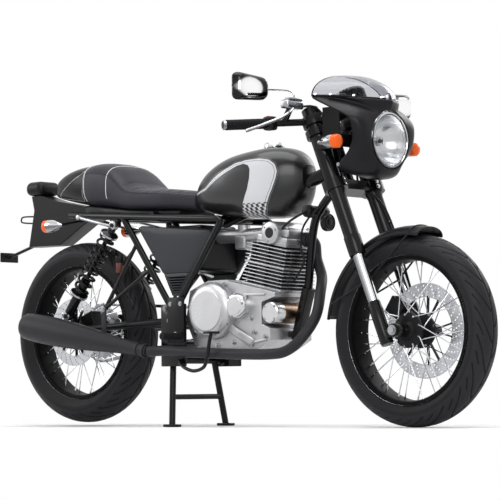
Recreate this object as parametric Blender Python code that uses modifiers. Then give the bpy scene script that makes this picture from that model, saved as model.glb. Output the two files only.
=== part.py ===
"""Cafe racer motorcycle: X points forward, Y to the rider's left, Z up, metres.

The floor is z = 0 and x = 0 is the middle of the machine's length. Places along the machine are
given from the rear axle, and `at` moves them into world coordinates.
"""

import math

import bmesh
import bpy
from mathutils import Matrix, Vector

# Driving sizes of the whole machine
WHEELBASE = 1.4228
REAR_TYRE_RADIUS = 0.308
REAR_TYRE_WIDTH = 0.127
FRONT_TYRE_RADIUS = 0.2933
FRONT_TYRE_WIDTH = 0.110
RIM_FLANGE_RADIUS = 0.228
STAND_LIFT = 0.012
TAIL_REACH = 0.402
SEAT_GAP = 0.0003
WELD = 0.00001
SMOOTH_ANGLE = math.radians(35)

REAR_AXLE_X = (TAIL_REACH - WHEELBASE - FRONT_TYRE_RADIUS) / 2
REAR_AXLE_Z = REAR_TYRE_RADIUS + STAND_LIFT
FRONT_AXLE_Z = FRONT_TYRE_RADIUS

# Steering head: the axis leans back by the rake and passes through the lower bearing
RAKE = math.radians(22.05)
HEAD_X = 1.1750
HEAD_Z = 0.7116
HEAD_BASE = 0.042
HEAD_LENGTH = 0.150
HEAD_RADIUS = 0.029
HEAD_BORE = 0.0150
FORK_OFFSET = 0.025
FORK_SPREAD = 0.0907

# Frame tubes
MAIN_TUBE_RADIUS = 0.0165
RAIL_RADIUS = 0.0120
STRUT_RADIUS = 0.0065
BACKBONE_RADIUS = 0.022
RAIL_SPREAD = 0.122

# Swinging arm
PIVOT_X = 0.520
PIVOT_Z = 0.345
ARM_SPREAD = 0.106
ARM_RADIUS = 0.0125
AXLE_RADIUS = 0.0080

for leftover in list(bpy.data.objects):
    bpy.data.objects.remove(leftover, do_unlink=True)

PARTS = bpy.data.collections.new("cafe_racer")
bpy.context.scene.collection.children.link(PARTS)


def at(x, y, z):
    """A point given from the rear axle, in world coordinates."""
    return Vector((REAR_AXLE_X + x, y, z))


def paint(name, colour, roughness, metallic):
    """A Principled material."""
    made = bpy.data.materials.new(name)
    made.use_nodes = True
    shader = made.node_tree.nodes["Principled BSDF"]
    shader.inputs["Base Color"].default_value = (*colour, 1)
    shader.inputs["Roughness"].default_value = roughness
    shader.inputs["Metallic"].default_value = metallic
    return made


BLACK = paint("satin_black", (0.012, 0.012, 0.013), 0.35, 0.0)
GLOSS = paint("gloss_black", (0.008, 0.008, 0.009), 0.15, 0.0)
EXHAUST = paint("exhaust_black", (0.020, 0.020, 0.021), 0.45, 0.3)
SILVER = paint("cast_aluminium", (0.60, 0.60, 0.61), 0.35, 1.0)
CHROME = paint("chrome", (0.80, 0.80, 0.82), 0.08, 1.0)
RUBBER = paint("rubber", (0.020, 0.020, 0.021), 0.80, 0.0)
LEATHER = paint("leather", (0.030, 0.032, 0.036), 0.60, 0.0)
STEEL = paint("steel", (0.45, 0.45, 0.46), 0.30, 1.0)
CLEAR = paint("smoked_screen", (0.25, 0.25, 0.27), 0.05, 0.0)


def keep(name, mesh, material):
    """Adds a finished mesh as the object of that name."""
    mesh.materials.clear()
    mesh.materials.append(material)
    mesh.shade_smooth()
    mesh.set_sharp_from_angle(angle=SMOOTH_ANGLE)
    made = bpy.data.objects.new(name, mesh)
    PARTS.objects.link(made)
    return made


def baked(made):
    """Replaces an object by its evaluated mesh in world coordinates."""
    bpy.context.view_layer.update()
    graph = bpy.context.evaluated_depsgraph_get()
    mesh = bpy.data.meshes.new_from_object(made.evaluated_get(graph))
    mesh.transform(made.matrix_world)
    shape = bmesh.new()
    shape.from_mesh(mesh)
    bmesh.ops.remove_doubles(shape, verts=shape.verts, dist=WELD)
    bmesh.ops.recalc_face_normals(shape, faces=shape.faces)
    shape.to_mesh(mesh)
    shape.free()
    material = made.data.materials[0]
    name = made.name
    bpy.data.objects.remove(made)
    return keep(name, mesh, material)


def from_bmesh(name, shape, material):
    """Turns a bmesh into an object."""
    bmesh.ops.recalc_face_normals(shape, faces=shape.faces)
    mesh = bpy.data.meshes.new(name)
    shape.to_mesh(mesh)
    shape.free()
    return keep(name, mesh, material)


def facing(centre, axis):
    """The matrix that stands local Z along the axis at the centre."""
    return Matrix.Translation(centre) @ axis.to_track_quat("Z", "Y").to_matrix().to_4x4()


def block(name, size, centre, material, tilt=0.0, bevel=0.0):
    """A box turned about the Y axis by the tilt."""
    shape = bmesh.new()
    bmesh.ops.create_cube(shape, size=1)
    bmesh.ops.transform(shape, matrix=Matrix.Diagonal((*size, 1)), verts=shape.verts)
    if bevel:
        bmesh.ops.bevel(shape, geom=shape.edges, offset=bevel, segments=1, affect="EDGES")
    place = Matrix.Translation(centre) @ Matrix.Rotation(tilt, 4, "Y")
    bmesh.ops.transform(shape, matrix=place, verts=shape.verts)
    return from_bmesh(name, shape, material)


def rod(name, start, end, radius, material, end_radius=None, sides=12):
    """A round bar, or a cone, between two points."""
    shape = bmesh.new()
    along = end - start
    bmesh.ops.create_cone(shape, cap_ends=True, segments=sides, radius1=radius,
                          radius2=radius if end_radius is None else end_radius,
                          depth=along.length)
    place = facing((start + end) / 2, along)
    bmesh.ops.transform(shape, matrix=place, verts=shape.verts)
    return from_bmesh(name, shape, material)


def turned(name, profile, centre, axis, material, steps=32, ring=False):
    """A turned piece: (radius, height) pairs round the axis, as a loop where it is a ring."""
    mesh = bpy.data.meshes.new(name)
    count = len(profile)
    pairs = [(i, i + 1) for i in range(count - 1)]
    if ring:
        pairs.append((count - 1, 0))
    mesh.from_pydata([(radius, 0, height) for radius, height in profile], pairs, [])
    made = keep(name, mesh, material)
    screw = made.modifiers.new("Screw", "SCREW")
    screw.steps = steps
    screw.render_steps = steps
    screw.use_merge_vertices = True
    screw.merge_threshold = WELD
    made.matrix_world = facing(centre, axis)
    return baked(made)


def tube(name, points, radius, material, cyclic=False, resolution=2):
    """A bent tube through the points, with filled ends."""
    curve = bpy.data.curves.new(name, "CURVE")
    curve.dimensions = "3D"
    curve.bevel_depth = radius
    curve.bevel_resolution = resolution
    curve.use_fill_caps = True
    line = curve.splines.new("POLY")
    line.points.add(len(points) - 1)
    for knot, point in zip(line.points, points):
        knot.co = (*point, 1)
    line.use_cyclic_u = cyclic
    curve.materials.append(material)
    made = bpy.data.objects.new(name, curve)
    PARTS.objects.link(made)
    return baked(made)


def plate(name, outline, thickness, centre_y, material):
    """A flat plate parallel to the machine's middle plane, from an (x, z) outline."""
    curve = bpy.data.curves.new(name, "CURVE")
    curve.dimensions = "2D"
    curve.fill_mode = "BOTH"
    curve.extrude = thickness / 2
    line = curve.splines.new("POLY")
    line.points.add(len(outline) - 1)
    for knot, (x, z) in zip(line.points, outline):
        knot.co = (x, z, 0, 1)
    line.use_cyclic_u = True
    curve.materials.append(material)
    made = bpy.data.objects.new(name, curve)
    PARTS.objects.link(made)
    made.matrix_world = (Matrix.Translation(at(0, centre_y, 0))
                         @ Matrix.Rotation(math.pi / 2, 4, "X"))
    return baked(made)


def loft(name, rings, material):
    """A closed skin over rings of points, each end closed by a face."""
    shape = bmesh.new()
    rows = [[shape.verts.new(point) for point in ring] for ring in rings]
    count = len(rings[0])
    for near, far in zip(rows, rows[1:]):
        for i in range(count):
            j = (i + 1) % count
            shape.faces.new((near[i], near[j], far[j], far[i]))
    shape.faces.new(reversed(rows[0]))
    shape.faces.new(rows[-1])
    return from_bmesh(name, shape, material)


def fuse(name, pieces, material):
    """Joins overlapping pieces into one solid by Boolean unions."""
    base = pieces[0]
    for other in pieces[1:]:
        joint = base.modifiers.new("Union", "BOOLEAN")
        joint.operation = "UNION"
        joint.object = other
        joint.solver = "EXACT"
    base.data.materials.clear()
    base.data.materials.append(material)
    made = baked(base)
    for other in pieces[1:]:
        bpy.data.objects.remove(other)
    made.name = name
    return made


def cut(made, cutters):
    """Cuts pieces out of a solid by Boolean differences."""
    for other in cutters:
        gap = made.modifiers.new("Cut", "BOOLEAN")
        gap.operation = "DIFFERENCE"
        gap.object = other
        gap.solver = "EXACT"
    result = baked(made)
    for other in cutters:
        bpy.data.objects.remove(other)
    return result


def joined(name, pieces, material):
    """Puts solids that don't touch into one mesh, as one Boolean operand."""
    shape = bmesh.new()
    for piece in pieces:
        shape.from_mesh(piece.data)
        bpy.data.objects.remove(piece)
    return from_bmesh(name, shape, material)


def smooth_route(points, steps):
    """Points along a smooth curve through the route's own points."""
    ends = [points[0] * 2 - points[1], *points, points[-1] * 2 - points[-2]]
    route = []
    for before, start, end, after in zip(ends, ends[1:], ends[2:], ends[3:]):
        for i in range(steps):
            t = i / steps
            route.append((start * 2 + (end - before) * t
                          + (before * 2 - start * 5 + end * 4 - after) * t ** 2
                          + (start * 3 - before - end * 3 + after) * t ** 3) / 2)
    route.append(points[-1])
    return route


def oval(x, half_width, bottom, top, points, squareness):
    """A rounded section across the machine, square where squareness is near 0."""
    ring = []
    full = math.cos(math.pi / points) ** squareness
    for i in range(points):
        angle = 2 * math.pi * (i + 0.5) / points
        across = math.copysign(abs(math.cos(angle)) ** squareness / full, math.cos(angle))
        up = math.copysign(abs(math.sin(angle)) ** squareness / full, math.sin(angle))
        ring.append(at(x, half_width * across, (bottom + top) / 2 + (top - bottom) / 2 * up))
    return ring


def mirrored(point):
    """The same place on the machine's other side."""
    return Vector((point.x, -point.y, point.z))


# Wheels: tyre, wire wheel of rim, spokes and hub, disc and sprocket
RIM_INNER_HALF = 0.0400
RIM_FLANGE_WALL = 0.0050
RIM_BED_RADIUS = 0.2217
RIM_INNER_RADIUS = 0.2110
WHEEL_STEPS = 32
SPOKES = 36
SPOKE_RADIUS = 0.0018
SPOKE_HUB_RADIUS = 0.046
SPOKE_HUB_HALF = 0.030
SPOKE_PAIR_GAP = 0.008
SPOKE_RIM_HALF = 0.008
SPOKE_LEAN = math.radians(38)
HUB_RADIUS = 0.030
HUB_FLANGE_RADIUS = 0.054
HUB_FLANGE_WALL = 0.014
HUB_BORE_CLEARANCE = 0.0006
FRONT_HUB_HALF = 0.050
REAR_HUB_HALF = 0.060
TYRE_ARC_STEPS = 4
TYRE_MID_SHARE = 0.44
TYRE_ROUND_SHARE = 0.85


def tyre(name, centre, radius, width):
    """A tyre: round tread and side walls down to beads inside the rim's flanges."""
    half = width / 2
    bead_half = RIM_INNER_HALF - SEAT_GAP
    middle = radius - width * TYRE_MID_SHARE
    profile = [(RIM_BED_RADIUS + SEAT_GAP, bead_half), (RIM_BED_RADIUS + SEAT_GAP, -bead_half),
               (RIM_FLANGE_RADIUS + SEAT_GAP, -bead_half)]
    for i in range(TYRE_ARC_STEPS * 2 + 1):
        angle = math.pi / 2 * (i / TYRE_ARC_STEPS - 1)
        rise = max(math.cos(angle), 0) ** TYRE_ROUND_SHARE
        profile.append((middle + (radius - middle) * rise, half * math.sin(angle)))
    profile.append((RIM_FLANGE_RADIUS + SEAT_GAP, bead_half))
    return turned(name, profile, centre, Vector((0, 1, 0)), RUBBER, WHEEL_STEPS, True)


def wire_wheel(name, centre, hub_half):
    """A wire wheel: rim, crossed spokes and bored hub as one solid."""
    side = Vector((0, 1, 0))
    flange_half = RIM_INNER_HALF + RIM_FLANGE_WALL
    inner_half = flange_half * 0.6
    side_radius = RIM_BED_RADIUS - RIM_FLANGE_WALL
    side_half = flange_half * 0.96
    rim_profile = [(RIM_FLANGE_RADIUS, flange_half), (side_radius, side_half),
                   (RIM_INNER_RADIUS, inner_half), (RIM_INNER_RADIUS, -inner_half),
                   (side_radius, -side_half), (RIM_FLANGE_RADIUS, -flange_half),
                   (RIM_FLANGE_RADIUS, -RIM_INNER_HALF), (RIM_BED_RADIUS, -RIM_INNER_HALF),
                   (RIM_BED_RADIUS, RIM_INNER_HALF), (RIM_FLANGE_RADIUS, RIM_INNER_HALF)]
    rim = turned("rim", rim_profile, centre, side, BLACK, WHEEL_STEPS, True)
    bore = AXLE_RADIUS + HUB_BORE_CLEARANCE
    outer = SPOKE_HUB_HALF + HUB_FLANGE_WALL / 2
    inner = SPOKE_HUB_HALF - HUB_FLANGE_WALL / 2
    hub_profile = [(bore, hub_half), (HUB_RADIUS, hub_half), (HUB_RADIUS, outer),
                   (HUB_FLANGE_RADIUS, outer), (HUB_FLANGE_RADIUS, inner),
                   (HUB_RADIUS, inner), (HUB_RADIUS, -inner), (HUB_FLANGE_RADIUS, -inner),
                   (HUB_FLANGE_RADIUS, -outer), (HUB_RADIUS, -outer), (HUB_RADIUS, -hub_half),
                   (bore, -hub_half)]
    hub = turned("hub", hub_profile, centre, side, BLACK, WHEEL_STEPS // 2, True)
    wires = []
    rim_end = (RIM_INNER_RADIUS + RIM_BED_RADIUS) / 2
    for i in range(SPOKES):
        hand = 1 if i % 2 else -1
        lean = 1 if (i // 2) % 2 else -1
        rim_angle = 2 * math.pi * i / SPOKES
        hub_angle = rim_angle + lean * SPOKE_LEAN
        hub_y = hand * (SPOKE_HUB_HALF + lean * SPOKE_PAIR_GAP / 2)
        start = centre + Vector((SPOKE_HUB_RADIUS * math.cos(hub_angle), hub_y,
                                 SPOKE_HUB_RADIUS * math.sin(hub_angle)))
        end = centre + Vector((rim_end * math.cos(rim_angle), hand * SPOKE_RIM_HALF,
                               rim_end * math.sin(rim_angle)))
        wires.append(rod("spoke", start, end, SPOKE_RADIUS, CHROME, sides=4))
    spokes = joined("spokes", wires, CHROME)
    return fuse(name, [rim, hub, spokes], BLACK)


FRONT_AXLE = at(WHEELBASE, 0, FRONT_AXLE_Z)
REAR_AXLE = at(0, 0, REAR_AXLE_Z)
tyre("front_tyre", FRONT_AXLE, FRONT_TYRE_RADIUS, FRONT_TYRE_WIDTH)
tyre("rear_tyre", REAR_AXLE, REAR_TYRE_RADIUS, REAR_TYRE_WIDTH)
wire_wheel("front_wheel", FRONT_AXLE, FRONT_HUB_HALF)
wire_wheel("rear_wheel", REAR_AXLE, REAR_HUB_HALF)

# Discs and sprocket, each a drilled ring that seats on the end of its hub
FRONT_DISC_RADIUS = 0.1460
REAR_DISC_RADIUS = 0.1150
DISC_WALL = 0.0045
DISC_BAND_SHARE = 0.70
DISC_ARMS = 5
DISC_ARM_WIDTH = 0.018
DISC_ARM_WALL_SHARE = 0.8
DISC_HOLES = 12
DISC_HOLE_RADIUS = 0.0050
DISC_EYE_RADIUS = 0.034


def disc(name, centre, radius):
    """A brake disc: a drilled band on arms from a ring round the hub's end."""
    side = Vector((0, 1, 0))
    half = DISC_WALL / 2
    band = radius * DISC_BAND_SHARE
    ring = turned("band", [(radius, half), (radius, -half), (band, -half), (band, half)],
                  centre, side, STEEL, WHEEL_STEPS, True)
    eye = turned("eye", [(DISC_EYE_RADIUS, half), (DISC_EYE_RADIUS, -half), (AXLE_RADIUS * 2, -half),
                         (AXLE_RADIUS * 2, half)], centre, side, STEEL, WHEEL_STEPS // 2, True)
    arms = []
    reach = (band + DISC_EYE_RADIUS) / 2
    for i in range(DISC_ARMS):
        angle = 2 * math.pi * i / DISC_ARMS
        middle = centre + Vector((reach * math.cos(angle), 0, reach * math.sin(angle)))
        size = (radius * DISC_BAND_SHARE - DISC_EYE_RADIUS + DISC_ARM_WIDTH / 2,
                DISC_WALL * DISC_ARM_WALL_SHARE, DISC_ARM_WIDTH)
        arms.append(block("arm", size, middle, STEEL, -angle))
    made = fuse(name, [ring, eye, *arms], STEEL)
    holes = []
    for i in range(DISC_HOLES):
        angle = 2 * math.pi * (i + 0.5) / DISC_HOLES
        reach = radius * (DISC_BAND_SHARE + 1) / 2 + DISC_HOLE_RADIUS * (1 if i % 2 else -1)
        middle = centre + Vector((reach * math.cos(angle), 0, reach * math.sin(angle)))
        through = side * DISC_WALL
        holes.append(rod("hole", middle - through, middle + through, DISC_HOLE_RADIUS, STEEL,
                         sides=5))
    return cut(made, [joined("holes", holes, STEEL)])


FRONT_DISC_Y = FRONT_HUB_HALF + DISC_WALL / 2 + SEAT_GAP
REAR_DISC_Y = REAR_HUB_HALF + DISC_WALL / 2 + SEAT_GAP
disc("front_disc", FRONT_AXLE + Vector((0, FRONT_DISC_Y, 0)), FRONT_DISC_RADIUS)
disc("rear_disc", REAR_AXLE - Vector((0, REAR_DISC_Y, 0)), REAR_DISC_RADIUS)

# Chain and sprockets: both rounds and the straight runs between them
CHAIN_Y = 0.0780
CHAIN_PITCH = 0.0159
CHAIN_HEIGHT = 0.0140
CHAIN_WALL = 0.0130
CHAIN_WAIST_SHARE = 0.62
REAR_SPROCKET_RADIUS = 0.098
FRONT_SPROCKET_RADIUS = 0.036
SPROCKET_WALL = 0.0050
SPROCKET_TOOTH = 0.0050
FRONT_SPROCKET_X = 0.600
FRONT_SPROCKET_Z = 0.350


def sprocket(name, centre, pitch_radius, inner_radius, material):
    """A toothed wheel whose teeth stop short of the chain."""
    teeth = max(8, round(2 * math.pi * pitch_radius / CHAIN_PITCH / 2))
    top = pitch_radius - CHAIN_HEIGHT / 2 - SEAT_GAP * 2
    outline = []
    for i in range(teeth):
        for step, rise in ((0.0, 0), (0.3, 1), (0.5, 1), (0.8, 0)):
            angle = 2 * math.pi * (i + step) / teeth
            radius = top - SPROCKET_TOOTH * (1 - rise)
            outline.append((radius * math.cos(angle), radius * math.sin(angle)))
    rim = plate(name, [(centre.x - REAR_AXLE_X + x, centre.z + z) for x, z in outline],
                SPROCKET_WALL, centre.y, material)
    side = Vector((0, 1, 0)) * SPROCKET_WALL
    eye = rod("eye", centre - side, centre + side, inner_radius, material, sides=24)
    return cut(rim, [eye])


rear_plate = sprocket("rear_sprocket", REAR_AXLE + Vector((0, CHAIN_Y, 0)),
                      REAR_SPROCKET_RADIUS, AXLE_RADIUS * 2, STEEL)
hub_face = REAR_HUB_HALF + SEAT_GAP
carrier = turned("carrier", [(HUB_FLANGE_RADIUS, CHAIN_Y), (HUB_FLANGE_RADIUS, hub_face),
                             (AXLE_RADIUS * 1.5, hub_face), (AXLE_RADIUS * 1.5, CHAIN_Y)],
                 REAR_AXLE, Vector((0, 1, 0)), STEEL, WHEEL_STEPS // 2, True)
fuse("rear_sprocket", [rear_plate, carrier], STEEL)


def chain_line():
    """Points and outward normals round both sprockets, one for each pitch."""
    rear = Vector((0, REAR_AXLE_Z))
    front = Vector((FRONT_SPROCKET_X, FRONT_SPROCKET_Z))
    along = front - rear
    tilt = math.atan2(along.y, along.x)
    lean = math.asin((REAR_SPROCKET_RADIUS - FRONT_SPROCKET_RADIUS) / along.length)
    start_top = tilt + math.pi / 2 - lean
    start_low = tilt - math.pi / 2 + lean
    run = along.length * math.cos(lean)
    rear_arc = REAR_SPROCKET_RADIUS * (math.pi + 2 * lean)
    front_arc = FRONT_SPROCKET_RADIUS * (math.pi - 2 * lean)
    total = 2 * run + rear_arc + front_arc
    count = 2 * round(total / CHAIN_PITCH / 2)
    line = []
    for i in range(count):
        walk = total * i / count
        if walk < rear_arc:
            angle = start_top + walk / REAR_SPROCKET_RADIUS
            normal = Vector((math.cos(angle), math.sin(angle)))
            line.append((rear + normal * REAR_SPROCKET_RADIUS, normal))
        elif walk < rear_arc + run:
            normal = Vector((math.cos(start_low), math.sin(start_low)))
            ahead = Vector((-normal.y, normal.x))
            line.append((rear + normal * REAR_SPROCKET_RADIUS + ahead * (walk - rear_arc), normal))
        elif walk < rear_arc + run + front_arc:
            angle = start_low + (walk - rear_arc - run) / FRONT_SPROCKET_RADIUS
            normal = Vector((math.cos(angle), math.sin(angle)))
            line.append((front + normal * FRONT_SPROCKET_RADIUS, normal))
        else:
            normal = Vector((math.cos(start_top), math.sin(start_top)))
            back = Vector((-normal.y, normal.x))
            gone = walk - rear_arc - run - front_arc
            line.append((front + normal * FRONT_SPROCKET_RADIUS + back * gone, normal))
    return line


def chain():
    """The drive chain as one band, waisted between its rollers."""
    shape = bmesh.new()
    rows = []
    for i, (point, normal) in enumerate(chain_line()):
        share = CHAIN_WAIST_SHARE if i % 2 else 1
        half = CHAIN_WALL / 2 * share
        rise = normal * CHAIN_HEIGHT / 2 * share
        rows.append([shape.verts.new(at(point.x + rise.x * up, CHAIN_Y + half * out,
                                        point.y + rise.y * up))
                     for up, out in ((1, 1), (1, -1), (-1, -1), (-1, 1))])
    for near, far in zip(rows, rows[1:] + rows[:1]):
        for i in range(4):
            j = (i + 1) % 4
            shape.faces.new((near[i], near[j], far[j], far[i]))
    return from_bmesh("chain", shape, STEEL)


chain()

# Frame: head, backbone, single downtube, seat rails with their V struts and pivot plates
BACKBONE_REAR_X = 0.640
DOWNTUBE_BEND_X = 1.060
DOWNTUBE_BEND_Z = 0.690
DOWNTUBE_STRAIGHT_X = 1.023
DOWNTUBE_STRAIGHT_Z = 0.620
DOWNTUBE_FOOT_X = 0.998
DOWNTUBE_FOOT_Z = 0.425
DOWNTUBE_RADIUS = 0.0135
ENGINE_BAR_X = 0.955
ENGINE_BAR_Z = 0.285
ENGINE_BAR_DEPTH = 0.026
ENGINE_BAR_WIDTH = 0.040
RAIL_FRONT_X = 0.740
RAIL_FRONT_Z = 0.664
RAIL_REAR_X = 0.020
RAIL_REAR_Z = 0.716
V_TOP_REAR_X = 0.294
V_TOP_REAR_Z = 0.697
V_FOOT_X = 0.530
V_FOOT_Z = 0.372
STRUT_HIGH_X = 0.358
STRUT_HIGH_Z = 0.600
STRUT_LOW_X = 0.420
STRUT_LOW_Z = 0.515
STRUT_TIP_X = 0.250
STRUT_TIP_Z = 0.395
STRUT_TIP_Y = 0.158
SHOCK_SPREAD = 0.142
SHOCK_TOP_X = 0.273
SHOCK_TOP_Z = 0.667
SHOCK_LOW_X = 0.050
SHOCK_LOW_Z = 0.372
SHOCK_PIN_RADIUS = 0.0070
SHOCK_LUG_WALL = 0.010
PIVOT_PLATE_WALL = 0.008
PIVOT_PLATE_Y = 0.131
PIVOT_PLATE_WIDTH = 0.110
PIVOT_PLATE_X = 0.535
PIVOT_PLATE_TOP = 0.398
PIVOT_PLATE_LOW = 0.196
BRIDGE_RADIUS = 0.010
BRIDGE_X = 0.505
BRIDGE_Z = 0.270
STAND_PIVOT_X = 0.500
STAND_PIVOT_Z = 0.216
STAND_PIVOT_RADIUS = 0.011
PIVOT_CLEARANCE = 0.0008

HEAD_AXIS = Vector((-math.sin(RAKE), 0, math.cos(RAKE)))
HEAD_FRONT = Vector((math.cos(RAKE), 0, math.sin(RAKE)))
HEAD_LOW = at(HEAD_X, 0, HEAD_Z)


def head_point(forward, side, up):
    """A point given from the steering axis at the lower clamp, along and across the axis."""
    return HEAD_LOW + HEAD_FRONT * forward + Vector((0, side, 0)) + HEAD_AXIS * up


def frame():
    """All welded tubes of the frame as one solid."""
    head_top = HEAD_BASE + HEAD_LENGTH
    head = turned("head", [(HEAD_RADIUS, head_top), (HEAD_RADIUS, HEAD_BASE),
                           (HEAD_BORE, HEAD_BASE), (HEAD_BORE, head_top)],
                  HEAD_LOW, HEAD_AXIS, GLOSS, 20, True)
    back_top = head_point(-HEAD_RADIUS, 0, HEAD_BASE + HEAD_LENGTH * 0.45)
    route = [head_point(-HEAD_RADIUS * 0.8, 0, HEAD_BASE + HEAD_LENGTH * 0.12),
             at(DOWNTUBE_BEND_X, 0, DOWNTUBE_BEND_Z), at(DOWNTUBE_STRAIGHT_X, 0, DOWNTUBE_STRAIGHT_Z),
             at(DOWNTUBE_FOOT_X, 0, DOWNTUBE_FOOT_Z)]
    bar_top = at(DOWNTUBE_FOOT_X, 0, DOWNTUBE_FOOT_Z)
    bar_low = at(ENGINE_BAR_X, 0, ENGINE_BAR_Z)
    bar_along = bar_top - bar_low
    bar_size = (ENGINE_BAR_DEPTH, ENGINE_BAR_WIDTH, bar_along.length + ENGINE_BAR_DEPTH)
    mount_length = ENGINE_BAR_X - CASE_FRONT_X - SEAT_GAP
    mount_size = (mount_length, ENGINE_BAR_WIDTH * 0.7, ENGINE_BAR_DEPTH * 0.8)
    pieces = [head,
              rod("backbone", back_top, at(BACKBONE_REAR_X, 0, BACKBONE_REAR_Z), BACKBONE_RADIUS,
                  GLOSS),
              tube("downtube", route, DOWNTUBE_RADIUS, GLOSS),
              block("engine_bar", bar_size, (bar_top + bar_low) / 2, GLOSS,
                    math.atan2(bar_along.x, bar_along.z)),
              block("engine_mount", mount_size,
                    at(CASE_FRONT_X + SEAT_GAP + mount_length / 2, 0,
                       ENGINE_BAR_Z + ENGINE_BAR_DEPTH * 0.3), GLOSS)]
    for side in (-1, 1):
        rail_y = side * RAIL_SPREAD
        rail = [at(RAIL_REAR_X, rail_y * 0.8, RAIL_REAR_Z), at(SHOCK_TOP_X, rail_y, V_TOP_REAR_Z),
                at(RAIL_FRONT_X - RAIL_RADIUS * 2, rail_y, RAIL_FRONT_Z + RAIL_RADIUS * 0.15),
                at(RAIL_FRONT_X, rail_y, RAIL_FRONT_Z - RAIL_RADIUS * 0.3),
                at(V_FOOT_X, rail_y, V_FOOT_Z)]
        pieces.append(tube("rail", rail, RAIL_RADIUS, GLOSS))
        pieces.append(rod("v_rear", at(V_TOP_REAR_X, rail_y, V_TOP_REAR_Z),
                          at(V_FOOT_X - RAIL_RADIUS, rail_y, V_FOOT_Z + RAIL_RADIUS),
                          RAIL_RADIUS * 0.9, GLOSS, sides=8))
        tip = at(STRUT_TIP_X, side * STRUT_TIP_Y, STRUT_TIP_Z)
        pieces.append(rod("strut_high", at(STRUT_HIGH_X, rail_y, STRUT_HIGH_Z), tip,
                          STRUT_RADIUS, GLOSS, sides=8))
        pieces.append(rod("strut_low", at(STRUT_LOW_X, rail_y, STRUT_LOW_Z),
                          tip + Vector((STRUT_RADIUS / 2, 0, 0)), STRUT_RADIUS * 0.95, GLOSS,
                          sides=8))
        pin_out = at(SHOCK_TOP_X, side * (SHOCK_SPREAD + SHOCK_PIN_RADIUS * 2), SHOCK_TOP_Z)
        pieces.append(rod("shock_pin", at(SHOCK_TOP_X, rail_y, SHOCK_TOP_Z), pin_out,
                          SHOCK_PIN_RADIUS, GLOSS, sides=10))
        lug = (SHOCK_PIN_RADIUS * 3, SHOCK_LUG_WALL,
               V_TOP_REAR_Z - SHOCK_TOP_Z + SHOCK_PIN_RADIUS * 1.6)
        pieces.append(block("shock_lug", lug,
                            at(SHOCK_TOP_X, rail_y, (SHOCK_TOP_Z + V_TOP_REAR_Z) / 2), GLOSS))
        pieces.append(block("pivot_plate", (PIVOT_PLATE_WIDTH, PIVOT_PLATE_WALL,
                                            PIVOT_PLATE_TOP - PIVOT_PLATE_LOW),
                            at(PIVOT_PLATE_X, side * PIVOT_PLATE_Y,
                               (PIVOT_PLATE_TOP + PIVOT_PLATE_LOW) / 2), GLOSS))
    bridges = ((BRIDGE_X, BRIDGE_Z, PIVOT_PLATE_Y, BRIDGE_RADIUS),
               (V_TOP_REAR_X, V_TOP_REAR_Z, RAIL_SPREAD, BRIDGE_RADIUS),
               (TANK_REST_X, TANK_REST_Z, RAIL_SPREAD, BRIDGE_RADIUS),
               (SEAT_REST_X, SEAT_REST_Z, RAIL_SPREAD, BRIDGE_RADIUS))
    for x, z, spread, radius in bridges:
        pieces.append(rod("bridge", at(x, -spread, z), at(x, spread, z), radius, GLOSS, sides=8))
    return fuse("frame", pieces, GLOSS)


# Swinging arm with the rear axle
ARM_END_X = -0.030
ARM_CROSS_X = 0.420


def swingarm():
    """Both arms, the pivot tube, the cross tube, shock lugs and the rear axle."""
    reach = ARM_SPREAD
    plate_in = PIVOT_PLATE_Y - PIVOT_PLATE_WALL / 2 - SEAT_GAP
    pieces = [rod("pivot", at(PIVOT_X, -plate_in, PIVOT_Z), at(PIVOT_X, plate_in, PIVOT_Z),
                  ARM_RADIUS * 1.5, BLACK, sides=16),
              rod("cross", at(ARM_CROSS_X, -reach, PIVOT_Z - ARM_RADIUS),
                  at(ARM_CROSS_X, reach, PIVOT_Z - ARM_RADIUS), ARM_RADIUS, BLACK,
                  sides=10),
              rod("axle", at(0, -reach - ARM_RADIUS * 2, REAR_AXLE_Z),
                  at(0, reach + ARM_RADIUS * 2, REAR_AXLE_Z), AXLE_RADIUS, STEEL, sides=12)]
    for side in (-1, 1):
        pieces.append(rod("arm", at(PIVOT_X, side * reach, PIVOT_Z),
                          at(ARM_END_X, side * reach, REAR_AXLE_Z), ARM_RADIUS, BLACK))
        pieces.append(block("end", (ARM_RADIUS * 5, ARM_RADIUS * 1.6, ARM_RADIUS * 2.6),
                            at(0, side * reach, REAR_AXLE_Z), BLACK))
        lug_y = side * (reach + ARM_RADIUS * 0.5)
        low = (REAR_AXLE_Z + SHOCK_LOW_Z) / 2
        pieces.append(block("lug", (ARM_RADIUS * 2, ARM_RADIUS, SHOCK_LOW_Z - REAR_AXLE_Z
                                    + SHOCK_PIN_RADIUS * 3),
                            at(SHOCK_LOW_X, lug_y, low), BLACK))
        pieces.append(rod("pin", at(SHOCK_LOW_X, side * reach, SHOCK_LOW_Z),
                          at(SHOCK_LOW_X, side * (SHOCK_SPREAD + SHOCK_PIN_RADIUS * 2),
                             SHOCK_LOW_Z), SHOCK_PIN_RADIUS, BLACK, sides=10))
    return fuse("swingarm", pieces, BLACK)


# Shock absorbers: eye, cap, coil spring and damper body as one solid
SHOCK_EYE_RADIUS = 0.0150
SHOCK_EYE_WIDTH = 0.018
SHOCK_CAP_RADIUS = 0.0310
SHOCK_CAP_WALL = 0.012
SHOCK_BODY_RADIUS = 0.0165
SPRING_RADIUS = 0.0252
SPRING_WIRE = 0.0044
SPRING_TURNS = 8
SPRING_TURN_STEPS = 7
SPRING_TOP_SHARE = 0.885
SPRING_LOW_SHARE = 0.26


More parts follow.
